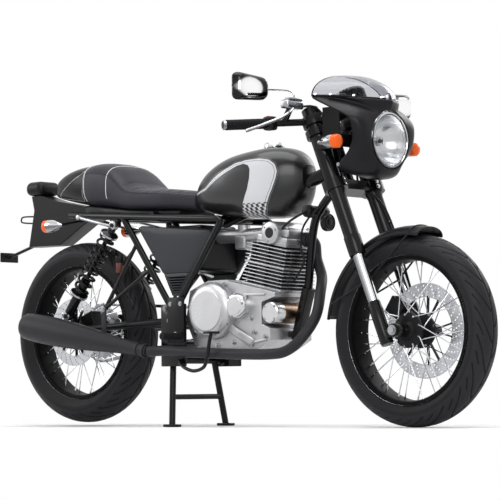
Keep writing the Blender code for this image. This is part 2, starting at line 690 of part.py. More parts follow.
def shock(name, side):
    """One shock absorber between its pins on the frame and the swinging arm."""
    y = side * SHOCK_SPREAD
    low = at(SHOCK_LOW_X, y, SHOCK_LOW_Z)
    high = at(SHOCK_TOP_X, y, SHOCK_TOP_Z)
    along = high - low
    up = along.normalized()
    across = up.cross(Vector((0, 1, 0))).normalized()
    out = Vector((0, 1, 0))
    spring_low = low + along * SPRING_LOW_SHARE
    spring_top = low + along * SPRING_TOP_SHARE
    bore = SHOCK_PIN_RADIUS + SEAT_GAP * 3
    half = SHOCK_EYE_WIDTH / 2
    inside = (bore + SHOCK_EYE_RADIUS) / 2
    low_cap = along.length * SPRING_LOW_SHARE
    top_cap = along.length * SPRING_TOP_SHARE
    profile = [(0, inside), (SHOCK_BODY_RADIUS, inside),
               (SHOCK_BODY_RADIUS, low_cap - SHOCK_CAP_WALL),
               (SHOCK_CAP_RADIUS, low_cap - SHOCK_CAP_WALL), (SHOCK_CAP_RADIUS, low_cap),
               (SHOCK_BODY_RADIUS, low_cap), (SHOCK_BODY_RADIUS, top_cap),
               (SHOCK_CAP_RADIUS, top_cap), (SHOCK_CAP_RADIUS, top_cap + SHOCK_CAP_WALL),
               (SHOCK_BODY_RADIUS, top_cap + SHOCK_CAP_WALL * 1.5),
               (SHOCK_BODY_RADIUS, along.length - inside), (0, along.length - inside)]
    pieces = [turned("body", profile, low, up, STEEL, 12)]
    eye = [(SHOCK_EYE_RADIUS, half), (SHOCK_EYE_RADIUS, -half), (bore, -half), (bore, half)]
    for point in (low, high):
        pieces.append(turned("eye", eye, point, out, STEEL, 10, True))
    coil = []
    steps = SPRING_TURNS * SPRING_TURN_STEPS
    coil_low = spring_low - up * SHOCK_CAP_WALL / 2
    coil_top = spring_top + up * SHOCK_CAP_WALL / 2
    for i in range(steps + 1):
        angle = 2 * math.pi * i / SPRING_TURN_STEPS
        centre = coil_low.lerp(coil_top, i / steps)
        coil.append(centre + (across * math.cos(angle) + out * math.sin(angle)) * SPRING_RADIUS)
    pieces.append(tube("coil", coil, SPRING_WIRE, BLACK, resolution=0))
    return fuse(name, pieces, BLACK)


shock("shock_right", -1)
shock("shock_left", 1)

# Engine: crankcase, leaning finned cylinder, head and round covers
ENGINE_LEAN = math.radians(12)
CASE_HALF_WIDTH = 0.100
CASE_REAR_X = 0.560
CASE_FRONT_X = 0.925
CASE_LOW_Z = 0.240
CASE_TOP_Z = 0.470
# Round the case from its upper rear corner: share of its length and of its height
CASE_OUTLINE_SHARES = (
    (0.05, 0.87), (0.00, 0.45), (0.11, 0.10), (0.38, 0.00), (0.82, 0.00), (1.00, 0.15),
    (1.00, 0.31), (0.90, 0.37), (0.90, 0.67), (1.055, 0.74), (1.055, 0.86), (0.55, 1.00),
    (0.27, 1.00),
)
CHAIN_BAY_X = 0.664
CHAIN_BAY_Y = 0.062
CYLINDER_X = 0.868
CYLINDER_Z = 0.440
CYLINDER_HALF_WIDTH = 0.080
CYLINDER_HALF_LENGTH = 0.085
CYLINDER_CORE_SHARE = 0.80
CYLINDER_SEAT_GAP = 0.0005
FIN_COUNT = 12
FIN_WALL = 0.0040
FIN_PITCH = 0.0115
HEAD_BLOCK_HEIGHT = 0.064
HEAD_BLOCK_LENGTH = 0.130
HEAD_BLOCK_WIDTH = 0.128
CAM_COVER_RADIUS = 0.038
CAM_COVER_HALF = 0.078


def engine_point(forward, side, up):
    """A point given from the middle of the cylinder's base, along the cylinder's lean."""
    base = at(CYLINDER_X, 0, CYLINDER_Z)
    lean = Vector((math.sin(ENGINE_LEAN), 0, math.cos(ENGINE_LEAN)))
    ahead = Vector((math.cos(ENGINE_LEAN), 0, -math.sin(ENGINE_LEAN)))
    return base + ahead * forward + Vector((0, side, 0)) + lean * up


def cylinder():
    """The finned barrel and lower head: a core with square fins."""
    height = FIN_COUNT * FIN_PITCH
    core = (CYLINDER_HALF_LENGTH * 2 * CYLINDER_CORE_SHARE,
            CYLINDER_HALF_WIDTH * 2 * CYLINDER_CORE_SHARE, height)
    lift = CYLINDER_SEAT_GAP
    pieces = [block("core", core, engine_point(0, 0, height / 2 + lift), SILVER, ENGINE_LEAN)]
    for i in range(FIN_COUNT):
        rise = FIN_PITCH * (i + 0.5) + lift
        size = (CYLINDER_HALF_LENGTH * 2, CYLINDER_HALF_WIDTH * 2, FIN_WALL)
        pieces.append(block("fin", size, engine_point(0, 0, rise), SILVER, ENGINE_LEAN))
    return fuse("cylinder", pieces, SILVER)


def crankcase():
    """The crankcase: cut flat under the barrel and stepped in for the chain's sprocket."""
    length = CASE_FRONT_X - CASE_REAR_X
    height = CASE_TOP_Z - CASE_LOW_Z
    outline = [(CASE_REAR_X + length * along, CASE_LOW_Z + height * up)
               for along, up in CASE_OUTLINE_SHARES]
    base = plate("crankcase", outline, CASE_HALF_WIDTH * 2, 0, SILVER)
    reach = CYLINDER_HALF_LENGTH * 3
    above = block("above", (reach, CASE_HALF_WIDTH * 3, reach),
                  engine_point(0, 0, reach / 2), SILVER, ENGINE_LEAN)
    bay = block("bay", (length, CASE_HALF_WIDTH, height * 3),
                at(CHAIN_BAY_X - length / 2, CHAIN_BAY_Y + CASE_HALF_WIDTH / 2, CASE_LOW_Z), SILVER)
    return cut(base, [above, bay])


def cylinder_head():
    """The head: a block with a round cam cover through it."""
    base = FIN_COUNT * FIN_PITCH + CYLINDER_SEAT_GAP * 2
    size = (HEAD_BLOCK_LENGTH, HEAD_BLOCK_WIDTH, HEAD_BLOCK_HEIGHT)
    middle = engine_point(0, 0, base + HEAD_BLOCK_HEIGHT / 2)
    pieces = [block("head", size, middle, SILVER, ENGINE_LEAN, HEAD_BLOCK_HEIGHT * 0.18)]
    rise = base + CAM_COVER_RADIUS * 0.9
    pieces.append(rod("cam", engine_point(0, -CAM_COVER_HALF, rise + CAM_COVER_RADIUS * 0.11),
                      engine_point(0, CAM_COVER_HALF, rise + CAM_COVER_RADIUS * 0.11),
                      CAM_COVER_RADIUS, SILVER, sides=20))
    return fuse("cylinder_head", pieces, SILVER)


crankcase()
cylinder()
cylinder_head()

CLUTCH_X = 0.690
CLUTCH_Z = 0.372
CLUTCH_RADIUS = 0.092
CLUTCH_DEPTH = 0.045
CLUTCH_FACE_SHARE = 0.70
POINTS_X = 0.802
POINTS_Z = 0.384
POINTS_RADIUS = 0.042
STARTER_X = 0.9236
STARTER_Z = 0.360
STARTER_RADIUS = 0.0345
STARTER_RIGHT_Y = 0.102
STARTER_LEFT_Y = 0.060
SPROCKET_SHAFT_RADIUS = 0.012


def round_cover(centre, side, radius, depth):
    """A domed cover with a flat face, standing out from the case."""
    face = radius * CLUTCH_FACE_SHARE
    profile = [(0, depth), (face, depth), (radius * 0.88, depth * 0.8), (radius, depth * 0.45),
               (radius, 0), (0, 0)]
    return turned("cover", profile, centre, Vector((0, side, 0)), SILVER, 24)


def engine_covers():
    """The clutch cover on the right and the generator cover on the left."""
    for name, side in (("clutch_cover", -1), ("generator_cover", 1)):
        face = side * (CASE_HALF_WIDTH + SEAT_GAP)
        pieces = [round_cover(at(CLUTCH_X, face, CLUTCH_Z), side, CLUTCH_RADIUS, CLUTCH_DEPTH),
                  round_cover(at(POINTS_X, face, POINTS_Z), side, POINTS_RADIUS,
                              CLUTCH_DEPTH * 0.8)]
        fuse(name, pieces, SILVER)


engine_covers()
rod("starter_motor", at(STARTER_X, -STARTER_RIGHT_Y, STARTER_Z),
    at(STARTER_X, STARTER_LEFT_Y, STARTER_Z), STARTER_RADIUS, STEEL, sides=24)

# Carburettor and air box, from the head back to between the side covers
CARBURETTOR_RADIUS = 0.022
CARBURETTOR_BOWL = 0.046
CARBURETTOR_SLIDE_SHARE = 1.2
BACKBONE_LIFT = 0.0149
AIR_BOX_FRONT_X = 0.620
AIR_BOX_REAR_X = 0.440
AIR_BOX_LOW_Z = 0.505
AIR_BOX_TOP_Z = 0.655
AIR_BOX_HALF_WIDTH = 0.090

INTAKE_FACE = engine_point(-HEAD_BLOCK_LENGTH / 2 + SEAT_GAP * 2, 0, FIN_COUNT * FIN_PITCH
                           + CARBURETTOR_RADIUS * 0.3)
# The backbone clears the top of the carburettor's slide
BACKBONE_REAR_Z = INTAKE_FACE.z + CARBURETTOR_BOWL * CARBURETTOR_SLIDE_SHARE + BACKBONE_LIFT


def carburettor():
    """A round body between head and air box, with its float bowl below."""
    face = INTAKE_FACE
    body_front = face + Vector((0, 0, CARBURETTOR_RADIUS))
    body_rear = Vector((at(AIR_BOX_FRONT_X + SEAT_GAP, 0, 0).x, 0, body_front.z))
    middle = (body_front + body_rear) / 2 - Vector((0, 0, CARBURETTOR_RADIUS))
    pieces = [rod("body", body_rear, body_front, CARBURETTOR_RADIUS, SILVER, sides=16),
              block("bowl", (CARBURETTOR_BOWL, CARBURETTOR_BOWL, CARBURETTOR_BOWL), middle, SILVER,
                    0, CARBURETTOR_BOWL * 0.1),
              rod("slide", middle, middle + Vector((0, 0, CARBURETTOR_BOWL * CARBURETTOR_SLIDE_SHARE)),
                  CARBURETTOR_RADIUS * 0.9, SILVER, sides=16)]
    return fuse("carburettor", pieces, SILVER)


carburettor()
block("air_box", (AIR_BOX_FRONT_X - AIR_BOX_REAR_X, AIR_BOX_HALF_WIDTH * 2,
                  AIR_BOX_TOP_Z - AIR_BOX_LOW_Z),
      at((AIR_BOX_FRONT_X + AIR_BOX_REAR_X) / 2, 0, (AIR_BOX_TOP_Z + AIR_BOX_LOW_Z) / 2), BLACK,
      0, AIR_BOX_HALF_WIDTH * 0.1)

# Side covers, one in each V of the frame
COVER_WALL = 0.030
COVER_REAR_X = 0.352
COVER_LENGTH = 0.360
COVER_LOW_Z = 0.490
COVER_HEIGHT = 0.170
# Round the cover from its upper rear corner: share of its length and of its height
COVER_OUTLINE_SHARES = ((0.02, 0.97), (0.34, 0.04), (0.445, -0.38), (0.552, -0.38), (0.685, 0.04),
                        (0.95, 0.76), (0.92, 0.84), (0.06, 1.01))

for name, side in (("side_cover_right", -1), ("side_cover_left", 1)):
    outline = [(COVER_REAR_X + COVER_LENGTH * along, COVER_LOW_Z + COVER_HEIGHT * up)
               for along, up in COVER_OUTLINE_SHARES]
    plate(name, outline, COVER_WALL, side * (AIR_BOX_HALF_WIDTH + COVER_WALL / 2 + SEAT_GAP), BLACK)

# Exhaust: one pipe from the head round the downtube to the muffler
PIPE_RADIUS = 0.0170
PIPE_Y = 0.156
PIPE_STEPS = 3
# Down the pipe: shares of the wheelbase, of its own side distance and of the head's height
PIPE_ROUTE_SHARES = (
    (0.7042, 0.2115, 0.8080), (0.7064, 0.2308, 0.7448), (0.7281, 0.1410, 0.6675),
    (0.7506, -0.1410, 0.5972), (0.7661, -0.4551, 0.4876), (0.7534, -0.7179, 0.3977),
    (0.7239, -0.8846, 0.3373), (0.6782, -0.9744, 0.3211), (0.5482, -1.0000, 0.3274),
    (0.3760, -1.0000, 0.3457),
)
MUFFLER_FRONT_X = 0.450
MUFFLER_FRONT_Y = 0.167
MUFFLER_FRONT_Z = 0.2464
MUFFLER_REAR_X = -0.105
MUFFLER_REAR_Y = 0.190
MUFFLER_REAR_Z = 0.3422
MUFFLER_RADIUS = 0.0485
MUFFLER_OUTLET_RADIUS = 0.022
MUFFLER_OUTLET_DEPTH = 0.040
# Down the muffler from its joint: share of its length and of its radius
MUFFLER_PROFILE_SHARES = ((0.00, 0.42), (0.05, 0.42), (0.07, 0.36), (0.30, 0.62), (0.55, 0.88),
                          (0.75, 1.00), (0.90, 0.98), (0.985, 0.92), (1.00, 0.84))
HANGER_WALL = 0.005
HANGER_WIDTH = 0.022


def exhaust():
    """The pipe through hand-placed bends, and the reverse-cone muffler with its hanger."""
    port = engine_point(HEAD_BLOCK_LENGTH / 2 + PIPE_RADIUS * 0.35, PIPE_RADIUS * 1.3,
                        FIN_COUNT * FIN_PITCH + HEAD_BLOCK_HEIGHT / 2)
    route = [port, port + Vector((PIPE_RADIUS, PIPE_RADIUS * 0.2, 0))]
    route += [at(WHEELBASE * along, PIPE_Y * side, HEAD_Z * up)
              for along, side, up in PIPE_ROUTE_SHARES]
    front = at(MUFFLER_FRONT_X, -MUFFLER_FRONT_Y, MUFFLER_FRONT_Z)
    rear = at(MUFFLER_REAR_X, -MUFFLER_REAR_Y, MUFFLER_REAR_Z)
    along = rear - front
    length = along.length
    back = along.normalized()
    route.append(front - back * PIPE_RADIUS * 1.5)
    bends = smooth_route(route, PIPE_STEPS) + [front - back * SEAT_GAP]
    tube("exhaust_pipe", bends, PIPE_RADIUS, EXHAUST)
    profile = [(0, 0)] + [(MUFFLER_RADIUS * wide, length * share)
                          for share, wide in MUFFLER_PROFILE_SHARES]
    profile += [(MUFFLER_OUTLET_RADIUS, length), (MUFFLER_OUTLET_RADIUS, length
                                                  - MUFFLER_OUTLET_DEPTH),
                (0, length - MUFFLER_OUTLET_DEPTH)]
    body = turned("body", profile, front, along, EXHAUST, 20)
    hang_top = at(STRUT_TIP_X, -STRUT_TIP_Y - STRUT_RADIUS - HANGER_WALL / 2 - SEAT_GAP * 2,
                  STRUT_TIP_Z)
    share = (MUFFLER_FRONT_X - STRUT_TIP_X) / (MUFFLER_FRONT_X - MUFFLER_REAR_X)
    on_muffler = front.lerp(rear, share)
    size = (HANGER_WIDTH, HANGER_WALL, hang_top.z - on_muffler.z)
    middle = Vector((hang_top.x, hang_top.y, (hang_top.z + on_muffler.z) / 2))
    return fuse("muffler", [body, block("hanger", size, middle, EXHAUST)], EXHAUST)


exhaust()

# Fuel tank and its cap
TANK_REAR_X = 0.575
TANK_LENGTH = 0.435
TANK_BASE_Z = 0.660
TANK_HEIGHT = 0.230
TANK_HALF_WIDTH = 0.128
TANK_POINTS = 16
TANK_SQUARENESS = 0.75
TANK_REST_SHARE = 0.20
TANK_REST_LOW_SHARE = 0.10
# Each row: place along the length, half width, bottom and top, as shares
TANK_SECTION_SHARES = (
    (0.00, 0.35, 0.28, 0.34), (0.02, 0.52, 0.19, 0.46), (0.08, 0.72, 0.15, 0.64),
    (TANK_REST_SHARE, 0.90, TANK_REST_LOW_SHARE, 0.80), (0.36, 1.00, 0.07, 0.92),
    (0.55, 1.00, 0.03, 0.98), (0.72, 0.92, 0.02, 1.00), (0.85, 0.72, 0.06, 0.96),
    (0.94, 0.48, 0.20, 0.86), (1.00, 0.26, 0.38, 0.72),
)
TANK_REST_X = TANK_REAR_X + TANK_LENGTH * TANK_REST_SHARE
TANK_REST_Z = TANK_BASE_Z + TANK_HEIGHT * TANK_REST_LOW_SHARE - BRIDGE_RADIUS - SEAT_GAP
TANK_TUNNEL_CLEARANCE = 0.006
CAP_X = 0.862
CAP_RADIUS = 0.034
CAP_HEIGHT = 0.018


def tank():
    """The tank, lofted over rounded sections, with the tunnel that clears the backbone."""
    rings = []
    for along, wide, low, high in TANK_SECTION_SHARES:
        rings.append(oval(TANK_REAR_X + TANK_LENGTH * along, TANK_HALF_WIDTH * wide,
                          TANK_BASE_Z + TANK_HEIGHT * low, TANK_BASE_Z + TANK_HEIGHT * high,
                          TANK_POINTS, TANK_SQUARENESS))
    made = loft("fuel_tank", rings, BLACK)
    back_top = head_point(-HEAD_RADIUS, 0, HEAD_BASE + HEAD_LENGTH * 0.45)
    slope = (back_top.z - BACKBONE_REAR_Z) / (back_top.x - REAR_AXLE_X - BACKBONE_REAR_X)
    reach = BACKBONE_RADIUS + TANK_TUNNEL_CLEARANCE
    rear_x = BACKBONE_REAR_X - TANK_TUNNEL_CLEARANCE
    front_x = TANK_REAR_X + TANK_LENGTH * 1.1
    rear_z = BACKBONE_REAR_Z + slope * (rear_x - BACKBONE_REAR_X) + reach
    front_z = BACKBONE_REAR_Z + slope * (front_x - BACKBONE_REAR_X) + reach
    floor_z = TANK_BASE_Z - reach
    tunnel = plate("tunnel", [(rear_x, floor_z), (front_x, floor_z), (front_x, front_z),
                              (rear_x, rear_z)], reach * 2, 0, BLACK)
    return cut(made, [tunnel])


tank()
turned("tank_cap", [(0, CAP_HEIGHT), (CAP_RADIUS * 0.8, CAP_HEIGHT), (CAP_RADIUS, CAP_HEIGHT * 0.6),
                    (CAP_RADIUS, 0), (0, 0)],
       at(CAP_X, 0, TANK_BASE_Z + TANK_HEIGHT + SEAT_GAP), Vector((0, 0, 1)), CHROME, 20)

# Seat with its hump, and the tail cowl behind it
SEAT_REAR_X = 0.100
SEAT_LENGTH = 0.470
SEAT_BASE_Z = 0.700
SEAT_HEIGHT = 0.190
SEAT_HALF_WIDTH = 0.122
SEAT_SQUARENESS = 0.66
SEAT_REST_SHARE = 0.70
SEAT_REST_LOW_SHARE = 0.04
# Each row: place along the length, half width, bottom and top, as shares
SEAT_SECTION_SHARES = (
    (0.00, 0.96, 0.22, 0.985), (0.08, 1.00, 0.19, 1.00), (0.18, 1.00, 0.16, 0.975),
    (0.28, 1.00, 0.12, 0.88), (0.36, 1.00, 0.09, 0.71), (0.43, 1.00, 0.07, 0.55),
    (0.52, 0.98, 0.06, 0.49), (SEAT_REST_SHARE, 0.90, SEAT_REST_LOW_SHARE, 0.45),
    (0.88, 0.72, 0.02, 0.40), (1.00, 0.52, 0.00, 0.36),
)
SEAT_REST_X = SEAT_REAR_X + SEAT_LENGTH * SEAT_REST_SHARE
SEAT_REST_Z = SEAT_BASE_Z + SEAT_HEIGHT * SEAT_REST_LOW_SHARE - BRIDGE_RADIUS - SEAT_GAP
COWL_REAR_X = -0.105
COWL_LENGTH = SEAT_REAR_X - COWL_REAR_X - SEAT_GAP
COWL_LOW_SHARE = 0.22
# Each row: place along the length, half width, bottom and top, as shares of the seat's sizes
COWL_SECTION_SHARES = (
    (0.00, 0.30, 0.47, 0.56), (0.05, 0.45, 0.44, 0.65), (0.20, 0.66, 0.40, 0.79),
    (0.45, 0.82, 0.34, 0.90), (0.72, 0.92, 0.28, 0.96), (1.00, 0.96, COWL_LOW_SHARE, 0.985),
)


def lofted(name, rear_x, length, rows, material):
    """The seat or the cowl, lofted over rounded sections."""
    rings = []
    for along, wide, low, high in rows:
        rings.append(oval(rear_x + length * along, SEAT_HALF_WIDTH * wide,
                          SEAT_BASE_Z + SEAT_HEIGHT * low, SEAT_BASE_Z + SEAT_HEIGHT * high,
                          TANK_POINTS, SEAT_SQUARENESS))
    return loft(name, rings, material)


lofted("seat", SEAT_REAR_X, SEAT_LENGTH, SEAT_SECTION_SHARES, LEATHER)
lofted("tail_cowl", COWL_REAR_X, COWL_LENGTH, COWL_SECTION_SHARES, BLACK)

# Tail: fender with its plate bracket, lamp and turn signals
FENDER_HALF_WIDTH = 0.032
TAIL_TOP_Z = SEAT_BASE_Z + SEAT_HEIGHT * COWL_LOW_SHARE - SEAT_GAP
LAMP_X = -0.222
LAMP_LENGTH = 0.085
LAMP_WIDTH = 0.104
LAMP_HEIGHT = 0.050
LAMP_LOW_Z = 0.802
PLATE_WIDTH = 0.084
PLATE_HEIGHT = 0.034
PLATE_WALL = 0.005
PLATE_Z = 0.594
PLATE_ARM_RADIUS = 0.006
TAIL_REAR_X = -0.262
TAIL_LOW_Z = 0.624
SIGNAL_Y = 0.190
SIGNAL_RADIUS = 0.0215
SIGNAL_LENGTH = 0.080
SIGNAL_STEM_RADIUS = 0.0045
REAR_SIGNAL_X = 0.035
REAR_SIGNAL_Z = 0.676


def rear_fender():
    """A boxed fender tail with an arm up to the lamp and one down to the plate bracket."""
    lamp_low = LAMP_LOW_Z - SEAT_GAP
    outline = [(SEAT_REAR_X, TAIL_TOP_Z), (SEAT_REAR_X - SEAT_HEIGHT * 0.2, TAIL_TOP_Z),
               (COWL_REAR_X - SEAT_HEIGHT * 0.12, TAIL_TOP_Z + SEAT_HEIGHT * 0.2),
               (LAMP_X + LAMP_LENGTH * 0.3, lamp_low), (LAMP_X - LAMP_LENGTH * 0.3, lamp_low),
               (LAMP_X - LAMP_LENGTH * 0.15, lamp_low - LAMP_HEIGHT),
               (TAIL_REAR_X, TAIL_LOW_Z), (COWL_REAR_X, TAIL_LOW_Z),
               (RAIL_REAR_X, TAIL_LOW_Z + SEAT_HEIGHT * 0.35), (SEAT_REAR_X, TAIL_TOP_Z
                                                              - RAIL_RADIUS * 2)]
    body = plate("body", outline, FENDER_HALF_WIDTH * 2, 0, BLACK)
    rear = at(-TAIL_REACH + PLATE_WALL / 2, 0, PLATE_Z)
    start = at(TAIL_REAR_X + PLATE_HEIGHT * 0.5, 0, TAIL_LOW_Z + PLATE_ARM_RADIUS * 2)
    arm = rod("arm", start, rear, PLATE_ARM_RADIUS, BLACK, sides=8)
    holder = block("holder", (PLATE_WALL, PLATE_WIDTH, PLATE_HEIGHT), rear, BLACK)
    return fuse("rear_fender", [body, arm, holder], BLACK)


def signal(name, lens_x, side, z, stem_x, stem_y, stem_z, facing_front):
    """A bullet turn signal on its stem."""
    turn = 1 if facing_front else -1
    lens = at(lens_x, side * SIGNAL_Y, z)
    profile = [(0, SIGNAL_LENGTH * 0.12), (SIGNAL_RADIUS * 0.8, SIGNAL_LENGTH * 0.08),
               (SIGNAL_RADIUS, 0), (SIGNAL_RADIUS, -SIGNAL_LENGTH * 0.3),
               (SIGNAL_RADIUS * 0.75, -SIGNAL_LENGTH * 0.65),
               (SIGNAL_RADIUS * 0.35, -SIGNAL_LENGTH * 0.92), (0, -SIGNAL_LENGTH)]
    body = turned("body", profile, lens, Vector((turn, 0, 0)), CHROME, 12)
    stem = rod("stem", at(stem_x, side * SIGNAL_Y, z), at(stem_x, side * stem_y, stem_z),
               SIGNAL_STEM_RADIUS, BLACK, sides=6)
    return fuse(name, [body, stem], CHROME)


rear_fender()
block("tail_lamp", (LAMP_LENGTH, LAMP_WIDTH, LAMP_HEIGHT),
      at(LAMP_X, 0, LAMP_LOW_Z + LAMP_HEIGHT / 2), BLACK, 0, LAMP_HEIGHT * 0.3)
for name, side in (("rear_signal_right", -1), ("rear_signal_left", 1)):
    signal(name, REAR_SIGNAL_X - SIGNAL_LENGTH * 0.5, side, REAR_SIGNAL_Z, REAR_SIGNAL_X,
           FENDER_HALF_WIDTH + SIGNAL_STEM_RADIUS * 0.25, REAR_SIGNAL_Z + SIGNAL_RADIUS * 1.25, False)

# Footpegs on plates, brake pedal and gear lever
PEG_PLATE_WALL = 0.006
PEG_PLATE_WIDTH = 0.075
PEG_PLATE_X = 0.552
PEG_PLATE_LOW = 0.274
PEG_PLATE_TOP = 0.420
PEG_X = 0.575
PEG_Z = 0.292
PEG_REACH = 0.230
PEG_RADIUS = 0.0120
PEDAL_RADIUS = 0.0060
PEDAL_PIVOT_X = 0.572
PEDAL_PIVOT_Z = 0.210
PEDAL_PAD_X = 0.757
PEDAL_PAD_Z = 0.300
PEDAL_PAD_SIZE = (0.034, 0.046, 0.008)
# Along the pedal's arm, as shares like the pipe's
PEDAL_ROUTE_SHARES = (
    (0.4301, -1.0256, 0.2670), (0.4639, -1.0769, 0.2530), (0.5025, -1.1667, 0.2698),
    (0.5187, -1.2179, 0.3162), (0.5236, -1.2179, 0.3682),
)
GEAR_SHAFT_X = 0.684
GEAR_SHAFT_Z = 0.262
GEAR_TOE_X = 0.772
GEAR_TOE_Z = 0.290


def footpeg(name, side):
    """A peg on its bracket plate."""
    face = PIVOT_PLATE_Y + PIVOT_PLATE_WALL / 2 + SEAT_GAP + PEG_PLATE_WALL / 2
    wall = block("plate", (PEG_PLATE_WIDTH, PEG_PLATE_WALL, PEG_PLATE_TOP - PEG_PLATE_LOW),
                 at(PEG_PLATE_X, side * face, (PEG_PLATE_TOP + PEG_PLATE_LOW) / 2), BLACK)
    peg = rod("peg", at(PEG_X, side * face, PEG_Z), at(PEG_X, side * PEG_REACH, PEG_Z), PEG_RADIUS,
              RUBBER)
    return fuse(name, [wall, peg], BLACK)


def brake_pedal():
    """The pedal: pivot boss, arm below the pipe and pad in front of the peg."""
    face = PIVOT_PLATE_Y + PIVOT_PLATE_WALL / 2 + SEAT_GAP
    pivot = at(PEDAL_PIVOT_X, -face, PEDAL_PIVOT_Z)
    outer = pivot - Vector((0, PEDAL_RADIUS * 3, 0))
    pad = at(PEDAL_PAD_X, -PIPE_Y - PIPE_RADIUS * 2.1, PEDAL_PAD_Z)
    route = [outer + Vector((0, PEDAL_RADIUS, 0))]
    route += [at(WHEELBASE * along, PIPE_Y * side, HEAD_Z * up)
              for along, side, up in PEDAL_ROUTE_SHARES]
    route.append(pad)
    pieces = [rod("boss", pivot, outer, PEDAL_RADIUS * 1.5, BLACK, sides=12),
              tube("arm", smooth_route(route, 3), PEDAL_RADIUS, BLACK),
              block("pad", PEDAL_PAD_SIZE, pad, BLACK)]
    return fuse("brake_pedal", pieces, BLACK)


def gear_lever():
    """The gear lever in front of the left peg, on a shaft from the case."""
    face = CASE_HALF_WIDTH + CLUTCH_DEPTH
    shaft_in = at(GEAR_SHAFT_X, CASE_HALF_WIDTH + SEAT_GAP, GEAR_SHAFT_Z)
    shaft_out = at(GEAR_SHAFT_X, face + PEDAL_RADIUS * 3, GEAR_SHAFT_Z)
    toe = at(GEAR_TOE_X, face + PEDAL_RADIUS * 3, GEAR_TOE_Z)
    pieces = [rod("shaft", shaft_in, shaft_out, PEDAL_RADIUS, BLACK, sides=8),
              rod("arm", shaft_out - Vector((0, PEDAL_RADIUS, 0)), toe, PEDAL_RADIUS * 0.9, BLACK,
                  sides=8),
              rod("toe", toe - Vector((0, PEDAL_RADIUS, 0)), toe + Vector((0, PEDAL_RADIUS * 6, 0)),
                  PEDAL_RADIUS * 1.4, RUBBER, sides=10)]
    return fuse("gear_lever", pieces, BLACK)


footpeg("footpeg_right", -1)
footpeg("footpeg_left", 1)
brake_pedal()
gear_lever()

# Horn in front of the downtube
HORN_RADIUS = 0.028
HORN_DEPTH = 0.028
HORN_Z = 0.640
horn_seat = DOWNTUBE_BEND_X + DOWNTUBE_RADIUS * 0.30
rod("horn", at(horn_seat, 0, HORN_Z), at(horn_seat + HORN_DEPTH, 0, HORN_Z), HORN_RADIUS, BLACK,
    sides=20)

# Brake calipers, slotted over their discs
CALIPER_SLOT_CLEARANCE = 0.0027
CALIPER_HALF_IN = 0.0110
CALIPER_LENGTH = 0.055
CALIPER_DEPTH = 0.060
FRONT_CALIPER_ANGLE = math.radians(146)
REAR_CALIPER_ANGLE = math.radians(20)


def caliper(name, axle, disc_y, disc_radius, angle, outer_y, material):
    """A caliper that bridges the disc's edge and seats against the leg or arm outside it."""
    hand = math.copysign(1, disc_y)
    slot_half = DISC_WALL / 2 + CALIPER_SLOT_CLEARANCE
    inner_y = abs(disc_y) - slot_half - CALIPER_HALF_IN
    outward = Vector((math.cos(angle), 0, math.sin(angle)))
    reach = disc_radius - CALIPER_DEPTH / 2 + CALIPER_SLOT_CLEARANCE * 5
    centre = axle + outward * reach + Vector((0, hand * (inner_y + outer_y) / 2, 0))
    body = block(name, (CALIPER_DEPTH, outer_y - inner_y, CALIPER_LENGTH), centre, material, -angle)
    slot_middle = axle + outward * (reach - CALIPER_SLOT_CLEARANCE * 3) + Vector((0, disc_y, 0))
    slot = block("slot", (CALIPER_DEPTH, slot_half * 2, CALIPER_LENGTH * 2), slot_middle, material,
                 -angle)
    return cut(body, [slot])


caliper("rear_caliper", REAR_AXLE, -REAR_DISC_Y, REAR_DISC_RADIUS, REAR_CALIPER_ANGLE,
        ARM_SPREAD - ARM_RADIUS - SEAT_GAP, BLACK)

# Front sprocket on its shaft out of the crankcase
sprocket_centre = at(FRONT_SPROCKET_X, CHAIN_Y, FRONT_SPROCKET_Z)
front_wheel_plate = sprocket("front_sprocket", sprocket_centre, FRONT_SPROCKET_RADIUS,
                             SPROCKET_SHAFT_RADIUS / 2, STEEL)
shaft = rod("shaft", at(FRONT_SPROCKET_X, CHAIN_BAY_Y + SEAT_GAP, FRONT_SPROCKET_Z),
            at(FRONT_SPROCKET_X, CHAIN_Y + SPROCKET_WALL, FRONT_SPROCKET_Z), SPROCKET_SHAFT_RADIUS,
            STEEL, sides=16)
fuse("front_sprocket", [front_wheel_plate, shaft], STEEL)

# Fork: clamps with the stem, legs and axle
CLAMP_WALL = 0.034
TOP_CLAMP_WALL = 0.022
CLAMP_GAP = 0.0006
CLAMP_DEPTH = 0.052
CLAMP_EAR_RADIUS = 0.0380
STEM_CLEARANCE = 0.0006
FORK_UPPER_RADIUS = 0.0275
FORK_OUTER_RADIUS = 0.0240
FORK_SEAL_RADIUS = 0.0262
FORK_TUBE_RADIUS = 0.0178
FORK_TOP_UP = 0.290
FORK_STEP_UP = -0.147
FORK_SEAL_UP = -0.211
FORK_FOOT_UP = -0.367
FORK_END_UP = -0.508
FORK_FOOT_RADIUS = 0.0205
AXLE_BOSS_RADIUS = 0.0200


